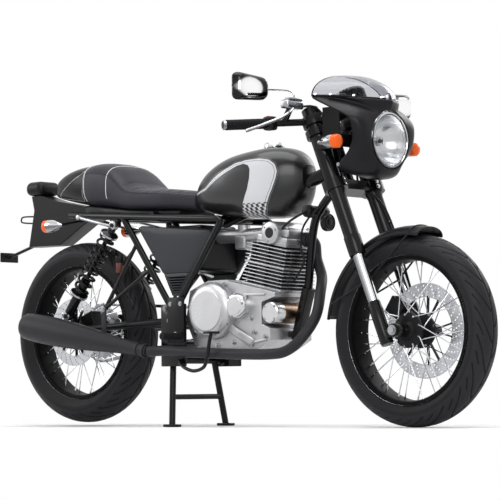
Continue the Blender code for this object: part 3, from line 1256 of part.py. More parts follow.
def fork_clamps():
    """Both fork clamps with the steering stem between them, bored for the legs."""
    low_top = HEAD_BASE - CLAMP_GAP
    high_low = HEAD_BASE + HEAD_LENGTH + CLAMP_GAP
    pieces = []
    for base, wall in ((low_top - CLAMP_WALL, CLAMP_WALL), (high_low, TOP_CLAMP_WALL)):
        middle = head_point(FORK_OFFSET * 0.7, 0, base + wall / 2)
        pieces.append(block("clamp", (CLAMP_DEPTH, FORK_SPREAD * 2, wall * 0.96), middle, BLACK,
                            -RAKE))
        for side in (-1, 1):
            y = side * FORK_SPREAD
            pieces.append(rod("ear", head_point(FORK_OFFSET, y, base),
                              head_point(FORK_OFFSET, y, base + wall), CLAMP_EAR_RADIUS, BLACK,
                              sides=16))
    pieces.append(rod("stem", head_point(0, 0, low_top - CLAMP_WALL / 2),
                      head_point(0, 0, high_low + TOP_CLAMP_WALL / 2), HEAD_BORE - STEM_CLEARANCE,
                      BLACK, sides=16))
    made = fuse("fork_clamps", pieces, BLACK)
    bores = []
    for side in (-1, 1):
        y = side * FORK_SPREAD
        bores.append(rod("bore", head_point(FORK_OFFSET, y, -CLAMP_WALL * 2),
                         head_point(FORK_OFFSET, y, high_low + TOP_CLAMP_WALL * 2),
                         FORK_UPPER_RADIUS + SEAT_GAP * 2, BLACK, sides=20))
    return cut(made, [joined("bores", bores, BLACK)])


def fork_leg(name, side):
    """One leg: the black outer tube above and the bright tube with the axle foot below."""
    base = head_point(FORK_OFFSET, side * FORK_SPREAD, 0)
    seal = FORK_SEAL_UP
    ledge = HEAD_BASE - CLAMP_GAP - CLAMP_WALL - FORK_UPPER_RADIUS * 0.3
    profile = [(0, FORK_TOP_UP), (FORK_UPPER_RADIUS, FORK_TOP_UP), (FORK_UPPER_RADIUS, ledge),
               (FORK_OUTER_RADIUS, ledge - FORK_UPPER_RADIUS * 0.4),
               (FORK_OUTER_RADIUS, FORK_STEP_UP), (FORK_SEAL_RADIUS, FORK_STEP_UP),
               (FORK_SEAL_RADIUS, seal), (0, seal)]
    turned("fork_upper_" + name, profile, base, HEAD_AXIS, BLACK, 20)
    foot_top = head_point(FORK_OFFSET, side * FORK_SPREAD, FORK_FOOT_UP)
    foot_end = head_point(FORK_OFFSET, side * FORK_SPREAD, FORK_END_UP)
    axle = Vector((FRONT_AXLE.x, side * FORK_SPREAD, FRONT_AXLE.z))
    on_leg = axle - HEAD_FRONT * (axle - base).dot(HEAD_FRONT)
    boss_half = Vector((0, FORK_FOOT_RADIUS, 0))
    web_size = ((axle - on_leg).length, FORK_FOOT_RADIUS * 1.3, AXLE_BOSS_RADIUS * 1.4)
    pieces = [rod("tube", head_point(FORK_OFFSET, side * FORK_SPREAD, seal - SEAT_GAP), foot_top
                  - HEAD_AXIS * FORK_FOOT_RADIUS, FORK_TUBE_RADIUS, CHROME, sides=16),
              rod("foot", foot_top, foot_end, FORK_FOOT_RADIUS, BLACK, sides=16),
              rod("boss", axle - boss_half, axle + boss_half, AXLE_BOSS_RADIUS, BLACK, sides=16),
              block("web", web_size, (axle + on_leg) / 2, BLACK, -RAKE)]
    if side < 0:
        inner = axle + boss_half * 0.5
        far = Vector((FRONT_AXLE.x, FORK_SPREAD - FORK_FOOT_RADIUS - SEAT_GAP, FRONT_AXLE.z))
        pieces.append(rod("axle", inner, far, AXLE_RADIUS, STEEL, sides=16))
    return fuse("fork_lower_" + name, pieces, CHROME)


fork_clamps()
fork_leg("right", -1)
fork_leg("left", 1)
caliper("front_caliper", FRONT_AXLE, FRONT_DISC_Y, FRONT_DISC_RADIUS, FRONT_CALIPER_ANGLE,
        FORK_SPREAD - FORK_FOOT_RADIUS - SEAT_GAP, BLACK)

# Handlebars: a clip-on for each leg with its grip, switches, lever and perch
BAR_UP = 0.245
BAR_CLAMP_WALL = 0.030
BAR_CLAMP_RADIUS = 0.0370
BAR_RADIUS = 0.0110
BAR_END_X = 0.969
BAR_END_Y = 0.360
BAR_END_Z = 0.928
GRIP_RADIUS = 0.0165
GRIP_LENGTH_SHARE = 0.50
SWITCH_SHARE = 0.40
SWITCH_SIZE = (0.042, 0.034, 0.044)
PERCH_SIZE = (0.034, 0.080, 0.034)
PERCH_X = 1.088
PERCH_Y = 0.172
PERCH_Z = 1.000
LEVER_RADIUS = 0.0055
# Along the lever, as shares of the place of the bar's end
LEVER_ROUTE_SHARES = (
    (1.1476, 0.6528, 1.0291), (1.1166, 0.8333, 0.9968), (1.0857, 0.9583, 0.9752),
)


def handlebar(name, side):
    """One clip-on bar with its grip, switch housing, perch and lever."""
    on_leg = head_point(FORK_OFFSET, side * FORK_SPREAD, BAR_UP)
    end = at(BAR_END_X, side * BAR_END_Y, BAR_END_Z)
    start = on_leg + (end - on_leg).normalized() * (FORK_UPPER_RADIUS + BAR_RADIUS * 0.5)
    ring = turned("ring", [(BAR_CLAMP_RADIUS, BAR_CLAMP_WALL / 2),
                           (BAR_CLAMP_RADIUS, -BAR_CLAMP_WALL / 2),
                           (FORK_UPPER_RADIUS + SEAT_GAP * 2, -BAR_CLAMP_WALL / 2),
                           (FORK_UPPER_RADIUS + SEAT_GAP * 2, BAR_CLAMP_WALL / 2)],
                  on_leg, HEAD_AXIS, BLACK, 20, True)
    grip_start = end.lerp(start, GRIP_LENGTH_SHARE)
    switch = end.lerp(start, GRIP_LENGTH_SHARE + 0.08)
    perch = at(PERCH_X, side * PERCH_Y, PERCH_Z)
    knuckle = start.lerp(end, 0.25)
    lever = [perch + Vector((LEVER_RADIUS * 2, side * LEVER_RADIUS * 2, -LEVER_RADIUS * 3))]
    lever += [at(BAR_END_X * along, BAR_END_Y * side * out, BAR_END_Z * up)
              for along, out, up in LEVER_ROUTE_SHARES]
    pieces = [ring, rod("bar", start, end, BAR_RADIUS, BLACK, sides=10),
              rod("grip", grip_start, end, GRIP_RADIUS, RUBBER, sides=12),
              block("switch", SWITCH_SIZE, switch, BLACK, 0, SWITCH_SIZE[0] * 0.12),
              rod("neck", knuckle, perch, BAR_RADIUS, BLACK, sides=8),
              block("perch", PERCH_SIZE, perch, BLACK, 0, PERCH_SIZE[0] * 0.15),
              tube("lever", smooth_route(lever, 2), LEVER_RADIUS, CHROME,
                   resolution=1)]
    return fuse(name, pieces, BLACK)


handlebar("handlebar_right", -1)
handlebar("handlebar_left", 1)

# Mirrors on the perches
MIRROR_X = 1.080
MIRROR_Y = 0.352
MIRROR_Z = 1.036
MIRROR_SIZE = (0.042, 0.156, 0.096)
MIRROR_STEM_RADIUS = 0.0050

for name, side in (("mirror_right", -1), ("mirror_left", 1)):
    foot = at(PERCH_X, side * PERCH_Y, PERCH_Z + PERCH_SIZE[2] / 2 + SEAT_GAP)
    head = at(MIRROR_X, side * MIRROR_Y, MIRROR_Z)
    elbow = foot + Vector((0, 0, MIRROR_STEM_RADIUS * 3))
    body = block("body", MIRROR_SIZE, head, CHROME, 0, MIRROR_SIZE[0] * 0.3)
    stem = tube("stem", [foot, elbow, head], MIRROR_STEM_RADIUS, CHROME)
    fuse(name, [body, stem], CHROME)

# Headlight, its bracket, the instruments, the fairing and its screen
LAMP_CENTRE_X = 1.336
LAMP_CENTRE_Z = 0.880
HEADLIGHT_RADIUS = 0.0860
HEADLIGHT_DEPTH = 0.100
LENS_BULGE = 0.020
BRACKET_WALL = 0.004
BRACKET_LOW_Z = 0.856
BRACKET_STEP_Z = 0.898
BRACKET_TOP_Z = 0.985
BRACKET_STEP_X = 1.168
BRACKET_CROSS_HEIGHT = 0.040
DIAL_RADIUS = 0.048
DIAL_DEPTH = 0.040
FAIRING_WALL = 0.0030
FAIRING_DEPTH = 0.170
FAIRING_HALF_WIDTH = 0.175
FAIRING_HEIGHT = 0.140
FAIRING_BULGE = 0.010
FAIRING_ROWS = 4
FAIRING_RIM_SHARE = 1.055
# Half of the outer edge, from below the lamp round to the top: angle in turns round the lamp,
# then how far back, to the side and up its edge lies, as shares
FAIRING_EDGE_SHARES = (
    (0.00, 0.38, 0.00, -0.84), (0.08, 0.42, 0.36, -0.79), (0.14, 0.72, 0.60, -0.60),
    (0.20, 0.36, 0.73, -0.26), (0.255, 0.21, 0.79, 0.02), (0.31, 0.21, 0.86, 0.39),
    (0.355, 0.36, 0.91, 0.55), (0.395, 0.60, 0.96, 0.70), (0.42, 0.97, 1.00, 0.96),
    (0.445, 0.50, 0.75, 0.93), (0.475, 0.18, 0.40, 0.89), (0.50, 0.00, 0.00, 0.88),
)
SCREEN_WALL = 0.0030
SCREEN_POINTS = 9
# Back from the lamp's centre, half width, base height and crest height, as the fairing's shares
SCREEN_SHARES = (
    (0.03, 0.067, 0.8817, 1.03), (0.18, 0.40, 0.89, 1.22), (0.50, 0.75, 0.93, 1.42),
    (0.74, 0.878, 0.9453, 1.49), (0.97, 1.00, 0.96, 1.52),
)


def headlight():
    """The lamp bucket with its rim and lens."""
    rim = HEADLIGHT_RADIUS
    profile = [(0, LENS_BULGE), (rim * 0.5, LENS_BULGE * 0.8), (rim * 0.88, LENS_BULGE * 0.15),
               (rim, 0), (rim, -rim * 0.2), (rim * 0.92, -rim * 0.5),
               (rim * 0.66, -HEADLIGHT_DEPTH * 0.9), (rim * 0.4, -HEADLIGHT_DEPTH),
               (0, -HEADLIGHT_DEPTH)]
    turned("headlight", profile, at(LAMP_CENTRE_X, 0, LAMP_CENTRE_Z), Vector((1, 0, 0)), CHROME, 24)


def lamp_bracket():
    """Side plates clamped by the legs and a cross piece behind the headlight."""
    cross_x = LAMP_CENTRE_X - HEADLIGHT_DEPTH - SEAT_GAP - BRACKET_WALL / 2
    plate_y = FORK_SPREAD + FORK_UPPER_RADIUS + SEAT_GAP + BRACKET_WALL / 2
    pieces = [block("cross", (BRACKET_WALL, plate_y * 2, BRACKET_CROSS_HEIGHT),
                    at(cross_x, 0, LAMP_CENTRE_Z), BLACK)]
    front_x = cross_x + BRACKET_WALL / 2
    leg_x = HEAD_X + FORK_OFFSET / math.cos(RAKE) - (LAMP_CENTRE_Z - HEAD_Z) * math.tan(RAKE)
    outline = [(leg_x, BRACKET_LOW_Z), (front_x, BRACKET_LOW_Z), (front_x, BRACKET_TOP_Z),
               (BRACKET_STEP_X, BRACKET_TOP_Z), (BRACKET_STEP_X, BRACKET_STEP_Z),
               (leg_x, BRACKET_STEP_Z)]
    for side in (-1, 1):
        pieces.append(plate("side", outline, BRACKET_WALL, side * plate_y, BLACK))
    return fuse("lamp_bracket", pieces, BLACK)


def instruments():
    """A round dial on a foot that stands on the top clamp."""
    clamp_top = HEAD_BASE + HEAD_LENGTH + CLAMP_GAP + TOP_CLAMP_WALL
    foot = head_point(FORK_OFFSET, 0, clamp_top)
    body = head_point(FORK_OFFSET * 5, 0, clamp_top + DIAL_DEPTH * 1.25)
    pieces = [block("foot", (CLAMP_DEPTH * 0.5, DIAL_RADIUS, DIAL_DEPTH),
                    foot + HEAD_AXIS * DIAL_DEPTH / 2, BLACK, -RAKE)]
    pieces.append(rod("dial", body, body + HEAD_AXIS * DIAL_DEPTH, DIAL_RADIUS, BLACK, sides=24))
    pieces.append(block("bridge", (FORK_OFFSET * 5, DIAL_RADIUS, DIAL_DEPTH * 0.5),
                        (foot + body) / 2 + HEAD_AXIS * DIAL_DEPTH * 0.5, BLACK, -RAKE))
    return fuse("instruments", pieces, BLACK)


def shell(name, rows, wall, closed, material):
    """An open skin over rows of points, thickened inward by a Solidify modifier."""
    shape = bmesh.new()
    grid = [[shape.verts.new(point) for point in row] for row in rows]
    count = len(rows[0])
    last = count if closed else count - 1
    for near, far in zip(grid, grid[1:]):
        for i in range(last):
            j = (i + 1) % count
            shape.faces.new((near[i], near[j], far[j], far[i]))
    made = from_bmesh(name, shape, material)
    solid = made.modifiers.new("Solidify", "SOLIDIFY")
    solid.thickness = wall
    solid.offset = 0
    return baked(made)


def fairing():
    """The fairing: a skin from the headlight's rim out to its free edge."""
    edge = []
    for turn, back, side, up in FAIRING_EDGE_SHARES:
        edge.append((turn, at(LAMP_CENTRE_X - FAIRING_DEPTH * back, -FAIRING_HALF_WIDTH * side,
                              LAMP_CENTRE_Z + FAIRING_HEIGHT * up)))
    half = edge[1:-1]
    full = edge + [(1 - turn, mirrored(point)) for turn, point in reversed(half)]
    rows = []
    inner = HEADLIGHT_RADIUS * FAIRING_RIM_SHARE
    for k in range(FAIRING_ROWS):
        share = k / (FAIRING_ROWS - 1)
        row = []
        for turn, point in full:
            angle = 2 * math.pi * turn
            rim = at(LAMP_CENTRE_X, -inner * math.sin(angle), LAMP_CENTRE_Z - inner
                     * math.cos(angle))
            outward = Vector((0, -math.sin(angle), -math.cos(angle)))
            bulge = (outward + Vector((1, 0, 0))) * FAIRING_BULGE * math.sin(math.pi * share)
            row.append(rim.lerp(point, share) + bulge)
        rows.append(row)
    return shell("fairing", rows, FAIRING_WALL, True, BLACK)


def windscreen():
    """The bubble screen: arched sections above the fairing's top edge."""
    rows = []
    lift = SCREEN_WALL * 0.6
    for back, wide, low, high in SCREEN_SHARES:
        x = LAMP_CENTRE_X - FAIRING_DEPTH * back
        base_z = LAMP_CENTRE_Z + FAIRING_HEIGHT * low + lift
        crest_z = LAMP_CENTRE_Z + FAIRING_HEIGHT * high
        row = []
        for i in range(SCREEN_POINTS):
            angle = math.pi * i / (SCREEN_POINTS - 1)
            row.append(at(x, -FAIRING_HALF_WIDTH * wide * math.cos(angle),
                          base_z + (crest_z - base_z) * math.sin(angle)))
        rows.append(row)
    return shell("windscreen", rows, SCREEN_WALL, False, CLEAR)


headlight()
lamp_bracket()
instruments()
fairing()
windscreen()
bracket_y = FORK_SPREAD + FORK_UPPER_RADIUS + BRACKET_WALL + SEAT_GAP * 2
FRONT_SIGNAL_X = 1.285
FRONT_SIGNAL_Z = 0.868
for name, side in (("front_signal_right", -1), ("front_signal_left", 1)):
    signal(name, FRONT_SIGNAL_X, side, FRONT_SIGNAL_Z, FRONT_SIGNAL_X - SIGNAL_LENGTH * 0.88,
           bracket_y, FRONT_SIGNAL_Z, True)

# Front fender: an arch round the tyre with its stays to the legs
ARCH_RADIUS = 0.3180
ARCH_HALF_WIDTH = 0.0620
ARCH_DROP = 0.0280
ARCH_WALL = 0.0030
ARCH_POINTS = 7
ARCH_STEPS = 12
ARCH_FRONT_ANGLE = math.radians(78)
ARCH_REAR_ANGLE = math.radians(172)
STAY_RADIUS = 0.0032
STAY_ANGLE = math.radians(84)


def front_fender():
    """The fender: arched sections round the wheel, and pads that meet both legs."""
    rows = []
    for k in range(ARCH_STEPS + 1):
        angle = ARCH_FRONT_ANGLE + (ARCH_REAR_ANGLE - ARCH_FRONT_ANGLE) * k / ARCH_STEPS
        row = []
        for i in range(ARCH_POINTS):
            turn = math.pi * (i / (ARCH_POINTS - 1) - 0.5)
            radius = ARCH_RADIUS - ARCH_DROP * (1 - math.cos(turn))
            row.append(FRONT_AXLE + Vector((radius * math.cos(angle),
                                            ARCH_HALF_WIDTH * math.sin(turn),
                                            radius * math.sin(angle))))
        rows.append(row)
    body = shell("body", rows, ARCH_WALL, False, BLACK)
    pieces = [body]
    for side in (-1, 1):
        leg_in = side * (FORK_SPREAD - FORK_TUBE_RADIUS - SEAT_GAP - STAY_RADIUS)
        on_leg = head_point(FORK_OFFSET, leg_in, (FORK_SEAL_UP + FORK_FOOT_UP) / 2)
        reach = ARCH_RADIUS - ARCH_DROP * 0.8
        on_arch = FRONT_AXLE + Vector((reach * math.cos(STAY_ANGLE), side * ARCH_HALF_WIDTH * 0.99,
                                       reach * math.sin(STAY_ANGLE)))
        rear_arch = FRONT_AXLE + Vector((reach * math.cos(ARCH_REAR_ANGLE * 0.95),
                                         side * ARCH_HALF_WIDTH * 0.99,
                                         reach * math.sin(ARCH_REAR_ANGLE * 0.95)))
        pieces.append(rod("stay", on_leg, on_arch, STAY_RADIUS, BLACK, sides=6))
        pieces.append(rod("stay_rear", on_leg, rear_arch, STAY_RADIUS * 0.95, BLACK, sides=6))
    return fuse("front_fender", pieces, BLACK)


front_fender()

# Centre stand: pivot tube, splayed legs and feet a little ahead of the pivot
STAND_FOOT_X = 0.522
STAND_LEG_SPREAD = 0.098
STAND_FOOT_SPREAD = 0.128
STAND_LEG_RADIUS = 0.0110
STAND_FOOT_LENGTH = 0.060
STAND_FOOT_WIDTH = 0.028
STAND_FOOT_WALL = 0.006


def centre_stand():
    """The stand that lifts the rear wheel, as one welded piece."""
    inner = PIVOT_PLATE_Y - PIVOT_PLATE_WALL / 2 - PIVOT_CLEARANCE
    pieces = [rod("pivot", at(STAND_PIVOT_X, -inner, STAND_PIVOT_Z),
                  at(STAND_PIVOT_X, inner, STAND_PIVOT_Z), STAND_PIVOT_RADIUS, BLACK, sides=16)]
    brace_z = STAND_PIVOT_Z * 0.45
    share = 1 - brace_z / STAND_PIVOT_Z
    brace_y = STAND_LEG_SPREAD + (STAND_FOOT_SPREAD - STAND_LEG_SPREAD) * share
    brace_x = STAND_PIVOT_X + (STAND_FOOT_X - STAND_PIVOT_X) * share
    pieces.append(rod("brace", at(brace_x, -brace_y, brace_z), at(brace_x, brace_y, brace_z),
                      STAND_LEG_RADIUS * 0.8, BLACK, sides=10))
    for side in (-1, 1):
        foot = at(STAND_FOOT_X, side * STAND_FOOT_SPREAD, STAND_FOOT_WALL / 2)
        pieces.append(rod("leg", at(STAND_PIVOT_X, side * STAND_LEG_SPREAD, STAND_PIVOT_Z), foot,
                          STAND_LEG_RADIUS * 0.95, BLACK, sides=12))
        pieces.append(block("foot", (STAND_FOOT_LENGTH, STAND_FOOT_WIDTH, STAND_FOOT_WALL * 2),
                            foot + Vector((0, 0, STAND_FOOT_WALL / 2)), BLACK))
    made = fuse("centre_stand", pieces, BLACK)
    below = block("below", (STAND_FOOT_LENGTH * 4, STAND_FOOT_SPREAD * 4, STAND_FOOT_LENGTH),
                  at(STAND_FOOT_X, 0, -STAND_FOOT_LENGTH / 2), BLACK)
    return cut(made, [below])


centre_stand()
frame()
swingarm()

# Joint axes: every moving piece hangs from an empty on its own axis
STEERED = ("fork_clamps", "fork_upper_right", "fork_upper_left", "fork_lower_right",
           "fork_lower_left", "front_caliper", "handlebar_right", "handlebar_left",
           "mirror_right", "mirror_left", "headlight", "lamp_bracket", "instruments", "fairing",
           "windscreen", "front_signal_right", "front_signal_left", "front_fender")
AXES = (
    ("steering_axis", HEAD_LOW, STEERED),
    ("front_axle", FRONT_AXLE, ("front_tyre", "front_wheel", "front_disc")),
    ("rear_axle", REAR_AXLE, ("rear_tyre", "rear_wheel", "rear_disc", "rear_sprocket")),
    ("stand_axis", at(STAND_PIVOT_X, 0, STAND_PIVOT_Z), ("centre_stand",)),
)
for axis_name, place, carried in AXES:
    empty = bpy.data.objects.new(axis_name, None)
    empty.location = place
    PARTS.objects.link(empty)
    bpy.context.view_layer.update()
    for piece in carried:
        bpy.data.objects[piece].parent = empty
        bpy.data.objects[piece].matrix_parent_inverse = empty.matrix_world.inverted()
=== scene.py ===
import math

import bmesh
import bpy
from mathutils import Matrix, Vector


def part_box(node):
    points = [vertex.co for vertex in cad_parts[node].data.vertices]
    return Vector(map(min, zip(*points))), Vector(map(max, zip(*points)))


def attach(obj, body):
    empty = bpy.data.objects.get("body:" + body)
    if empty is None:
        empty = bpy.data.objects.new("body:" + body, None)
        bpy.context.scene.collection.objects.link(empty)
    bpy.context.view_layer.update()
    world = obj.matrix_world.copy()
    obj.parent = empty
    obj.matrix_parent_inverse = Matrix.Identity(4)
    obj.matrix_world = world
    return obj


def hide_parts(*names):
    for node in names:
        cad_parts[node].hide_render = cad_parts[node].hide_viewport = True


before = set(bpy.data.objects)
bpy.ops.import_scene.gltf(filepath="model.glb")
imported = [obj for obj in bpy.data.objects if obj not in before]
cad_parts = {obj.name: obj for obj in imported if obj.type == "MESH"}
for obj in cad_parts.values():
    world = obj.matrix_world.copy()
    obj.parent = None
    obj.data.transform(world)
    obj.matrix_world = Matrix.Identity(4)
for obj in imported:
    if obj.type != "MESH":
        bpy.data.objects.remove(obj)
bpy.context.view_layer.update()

# Studio: a wide pale floor under a white surround, with large soft lamps above, in front,
# behind and on the far side, and the camera low at the right front. Places along the machine
# are given from the rear axle, as they were measured
rear_low, rear_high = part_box("rear_tyre")
front_low, front_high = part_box("front_tyre")
REAR_X = (rear_low.x + rear_high.x) / 2
COAT_SHARE = 0.4
COAT_ROUGHNESS = 0.08
METAL_REFLECTION = 0.5
PAINT_REFLECTION = 0.15


def at(x, y, z):
    """A point given from the rear axle, in world coordinates."""
    return Vector((REAR_X + x, y, z))


def srgb(red, green, blue):
    """A colour as it shows on screen, from 0 to 255, as linear light."""
    shares = (red / 255, green / 255, blue / 255)
    return tuple(((s + 0.055) / 1.055) ** 2.4 if s > 0.04045 else s / 12.92 for s in shares)


def wired(tree, kind, sockets=None, **settings):
    """Adds a shader node, with its settings, and its inputs set or fed from other nodes."""
    made = tree.nodes.new("ShaderNode" + kind)
    for name, value in settings.items():
        setattr(made, name, value)
    for name, value in (sockets or {}).items():
        if isinstance(value, bpy.types.NodeSocket):
            tree.links.new(value, made.inputs[name])
        else:
            made.inputs[name].default_value = value
    return made


def toned(node, tones):
    """Gives a colour ramp its grey tones, as (place, tone) pairs."""
    stops = node.color_ramp.elements
    for spot, tone in tones:
        stops.new(spot).color = (tone, tone, tone, 1)
    stops.remove(stops[0])
    stops.remove(stops[-1])


def finish(name, colour, roughness, metallic=0.0, grain=260.0, spread=0.10, bump=0.06,
           shade=0.12, blotch=9.0, coat=0.0, depth=0.0006, fall=0.0):
    """A procedural finish: fine grain in the surface, blotches in its colour and sheen, and
    for bright metals a painted reflection, a tone that darkens the colour by the slope of the
    surface."""
    made = bpy.data.materials.new(name)
    made.use_nodes = True
    tree = made.node_tree
    shader = tree.nodes["Principled BSDF"]
    shader.inputs["Metallic"].default_value = metallic
    shader.inputs["Coat Weight"].default_value = coat * COAT_SHARE
    shader.inputs["Coat Roughness"].default_value = COAT_ROUGHNESS
    reflection = METAL_REFLECTION if metallic > 0.5 else PAINT_REFLECTION
    shader.inputs["Specular IOR Level"].default_value = reflection
    place = wired(tree, "TexCoord")
    fine = wired(tree, "TexNoise", {"Vector": place.outputs["Object"], "Scale": grain,
                                    "Detail": 4})
    wide = wired(tree, "TexNoise", {"Vector": place.outputs["Object"], "Scale": blotch,
                                    "Detail": 5})
    tint = wired(tree, "ValToRGB", {"Fac": wide.outputs["Fac"]})
    darker, lighter = tint.color_ramp.elements
    darker.position = 0.25
    darker.color = (*[c * (1 - shade) for c in colour], 1)
    lighter.position = 0.75
    lighter.color = (*[min(c * (1 + shade), 1) for c in colour], 1)
    tree.links.new(tint.outputs["Color"], shader.inputs["Base Color"])
    # Painted reflection: the colour is multiplied by grey tones read from the slope of the surface,
    # darkest where it faces sideways or somewhat down and full where it faces up.
    if fall:
        slope = wired(tree, "NewGeometry")
        parts = wired(tree, "SeparateXYZ", {"Vector": slope.outputs["Normal"]})
        half = wired(tree, "MapRange", {"Value": parts.outputs["Z"], "From Min": -1.0})
        tones = wired(tree, "ValToRGB", {"Fac": half.outputs["Result"]})
        toned(tones, ((0.0, 1 - fall * 0.55), (0.36, 1 - fall), (0.50, 1 - fall * 0.85),
                      (0.60, 1.0), (0.78, 1 - fall * 0.45), (1.0, 1.0)))
        painted_reflection_tone = wired(tree, "Mix", {"Factor": 1.0, "A": tint.outputs["Color"],
                                     "B": tones.outputs["Color"]},
                       data_type="RGBA", blend_type="MULTIPLY")
        tree.links.new(painted_reflection_tone.outputs["Result"], shader.inputs["Base Color"])
    sheen = wired(tree, "MapRange", {"Value": wide.outputs["Fac"], "From Min": 0.3,
                                     "From Max": 0.7, "To Min": max(roughness - spread, 0.02),
                                     "To Max": min(roughness + spread, 1)})
    tree.links.new(sheen.outputs["Result"], shader.inputs["Roughness"])
    raised = wired(tree, "Bump", {"Height": fine.outputs["Fac"], "Strength": bump,
                                  "Distance": depth})
    tree.links.new(raised.outputs["Normal"], shader.inputs["Normal"])
    return made


def placed(name, mesh):
    """An object at the origin for a mesh."""
    made = bpy.data.objects.new(name, mesh)
    bpy.context.scene.collection.objects.link(made)
    return made


ground = bmesh.new()
bmesh.ops.create_grid(ground, x_segments=1, y_segments=1, size=60)
ground_mesh = bpy.data.meshes.new("studio_floor")
ground.to_mesh(ground_mesh)
ground.free()
floor = placed("studio_floor", ground_mesh)
floor_paint = finish("floor_paint", srgb(252, 252, 252), 0.6, 0.0, 30, 0.03, 0.01, 0.004, 0.8)
floor.data.materials.append(floor_paint)


def seen_white(tree):
    """1 for rays from the eye, in a reflection or through glass, and 0 for the rest."""
    path = wired(tree, "LightPath")
    first = wired(tree, "Math", {0: path.outputs["Is Camera Ray"],
                                 1: path.outputs["Is Glossy Ray"]}, operation="MAXIMUM")
    both = wired(tree, "Math", {0: first.outputs["Value"],
                                1: path.outputs["Is Transmission Ray"]}, operation="MAXIMUM")
    return both.outputs["Value"]


floor_tree = floor_paint.node_tree
ground_place = floor_tree.nodes["Texture Coordinate"].outputs["Object"]
distance = wired(floor_tree, "VectorMath", {0: ground_place}, operation="LENGTH")
fade = wired(floor_tree, "MapRange", {"Value": distance.outputs["Value"], "From Min": 1.1,
                                      "From Max": 2.4}, interpolation_type="SMOOTHSTEP")
shown = wired(floor_tree, "Math", {0: fade.outputs["Result"], 1: seen_white(floor_tree)},
              operation="MULTIPLY")
white = wired(floor_tree, "Emission", {"Strength": 1.0})
blend = wired(floor_tree, "MixShader", {"Fac": shown.outputs["Value"],
                                        1: floor_tree.nodes["Principled BSDF"].outputs["BSDF"],
                                        2: white.outputs["Emission"]})
floor_tree.links.new(blend.outputs["Shader"], floor_tree.nodes["Material Output"].inputs["Surface"])

surround = bpy.data.worlds.new("studio_white")
bpy.context.scene.world = surround
surround.use_nodes = True
sky_tree = surround.node_tree
glow = sky_tree.nodes["Background"]
glow.inputs["Color"].default_value = (1.0, 1.0, 1.0, 1)
glow.inputs["Strength"].default_value = 0.50
backdrop = wired(sky_tree, "Background", {"Color": (1.0, 1.0, 1.0, 1), "Strength": 1.0})
chosen = wired(sky_tree, "MixShader", {"Fac": seen_white(sky_tree),
                                       1: glow.outputs["Background"],
                                       2: backdrop.outputs["Background"]})
sky_tree.links.new(chosen.outputs["Shader"], sky_tree.nodes["World Output"].inputs["Surface"])

# Lamps: name, place, aim, size across, size along, power
LAMPS = (
    ("lamp_above", (0.2, -0.4, 3.2), (0, 0, 0.5), 2.6, 2.2, 62),
    ("lamp_front", (3.0, -3.2, 2.3), (0.2, 0, 0.6), 1.8, 1.8, 52),
    ("lamp_rear", (-3.0, -2.2, 2.0), (-0.3, 0, 0.6), 1.4, 1.8, 30),
    ("lamp_far", (0.4, 3.2, 2.4), (0, 0, 0.6), 2.4, 1.6, 34),
)
for name, place, aim, across, along, power in LAMPS:
    light = bpy.data.lights.new(name, "AREA")
    light.shape = "RECTANGLE"
    light.size = across
    light.size_y = along
    light.energy = power
    lamp = placed(name, light)
    lamp.location = place
    lamp.rotation_euler = (Vector(aim) - Vector(place)).to_track_quat("-Z", "Y").to_euler()

azimuth = math.radians(41.984)
height = math.radians(-3.3712)
tilt = math.radians(-0.5296)
camera_back = Vector((math.sin(azimuth) * math.cos(height), -math.cos(azimuth) * math.cos(height),
                      math.sin(height)))
level = Vector((math.cos(azimuth), math.sin(azimuth), 0))
upward = camera_back.cross(level)
camera_right = level * math.cos(tilt) + upward * math.sin(tilt)
camera_up = upward * math.cos(tilt) - level * math.sin(tilt)
lens = bpy.data.cameras.new("camera")
lens.lens = 169.349
lens.sensor_width = 36
camera = placed("camera", lens)
turned = Matrix((camera_right, camera_up, camera_back)).transposed().to_4x4()
camera.matrix_world = Matrix.Translation(at(5.8242, -5.6356, 0.1221)) @ turned
bpy.context.scene.camera = camera
bpy.context.scene.view_settings.view_transform = "Standard"


# Tyres: tubed road tyres of black rubber, moulded with rippled walls and a round tread whose
# grooves sweep back to the shoulders, each seated with its beads in the rim
REAR_AXLE = (rear_low + rear_high) / 2
FRONT_AXLE = (front_low + front_high) / 2
SIDEWAYS = Vector((0, 1, 0))


def facing(centre, axis):
    """The matrix that stands local Z along the axis at the centre."""
    return Matrix.Translation(centre) @ axis.to_track_quat("Z", "Y").to_matrix().to_4x4()


def add(shape, part, place=None, slot=0):
    """Adds one closed part to a piece, moved by the matrix."""
    bmesh.ops.remove_doubles(part, verts=part.verts, dist=0.00001)
    bmesh.ops.recalc_face_normals(part, faces=part.faces)
    if place is not None:
        bmesh.ops.transform(part, matrix=place, verts=part.verts)
    for face in part.faces:
        face.material_index = slot
    carrier = bpy.data.meshes.new("part")
    part.to_mesh(carrier)
    part.free()
    shape.from_mesh(carrier)
    bpy.data.meshes.remove(carrier)


def lathe(shape, profile, centre, axis, steps=64, ring=False, slot=0):
    """Adds a turned part: (radius, height) pairs round the axis."""
    part = bmesh.new()
    points = [part.verts.new((radius, 0, rise)) for radius, rise in profile]
    pairs = list(zip(points, points[1:]))
    if ring:
        pairs.append((points[-1], points[0]))
    edges = [part.edges.new(pair) for pair in pairs]
    bmesh.ops.spin(part, geom=points + edges, angle=math.tau, steps=steps, axis=(0, 0, 1),
                   cent=(0, 0, 0), use_merge=True)
    add(shape, part, facing(centre, axis), slot)


def piece(name, shape, body, materials, *nodes, angle=38):
    """Turns a shape into a piece that rides on a body and stands for CAD nodes."""
    mesh = bpy.data.meshes.new(name)
    shape.to_mesh(mesh)
    shape.free()
    for material in materials:
        mesh.materials.append(material)
    mesh.shade_smooth()
    mesh.set_sharp_from_angle(angle=math.radians(angle))
    made = placed(name, mesh)
    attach(made, body)
    if nodes:
        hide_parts(*nodes)
    return made


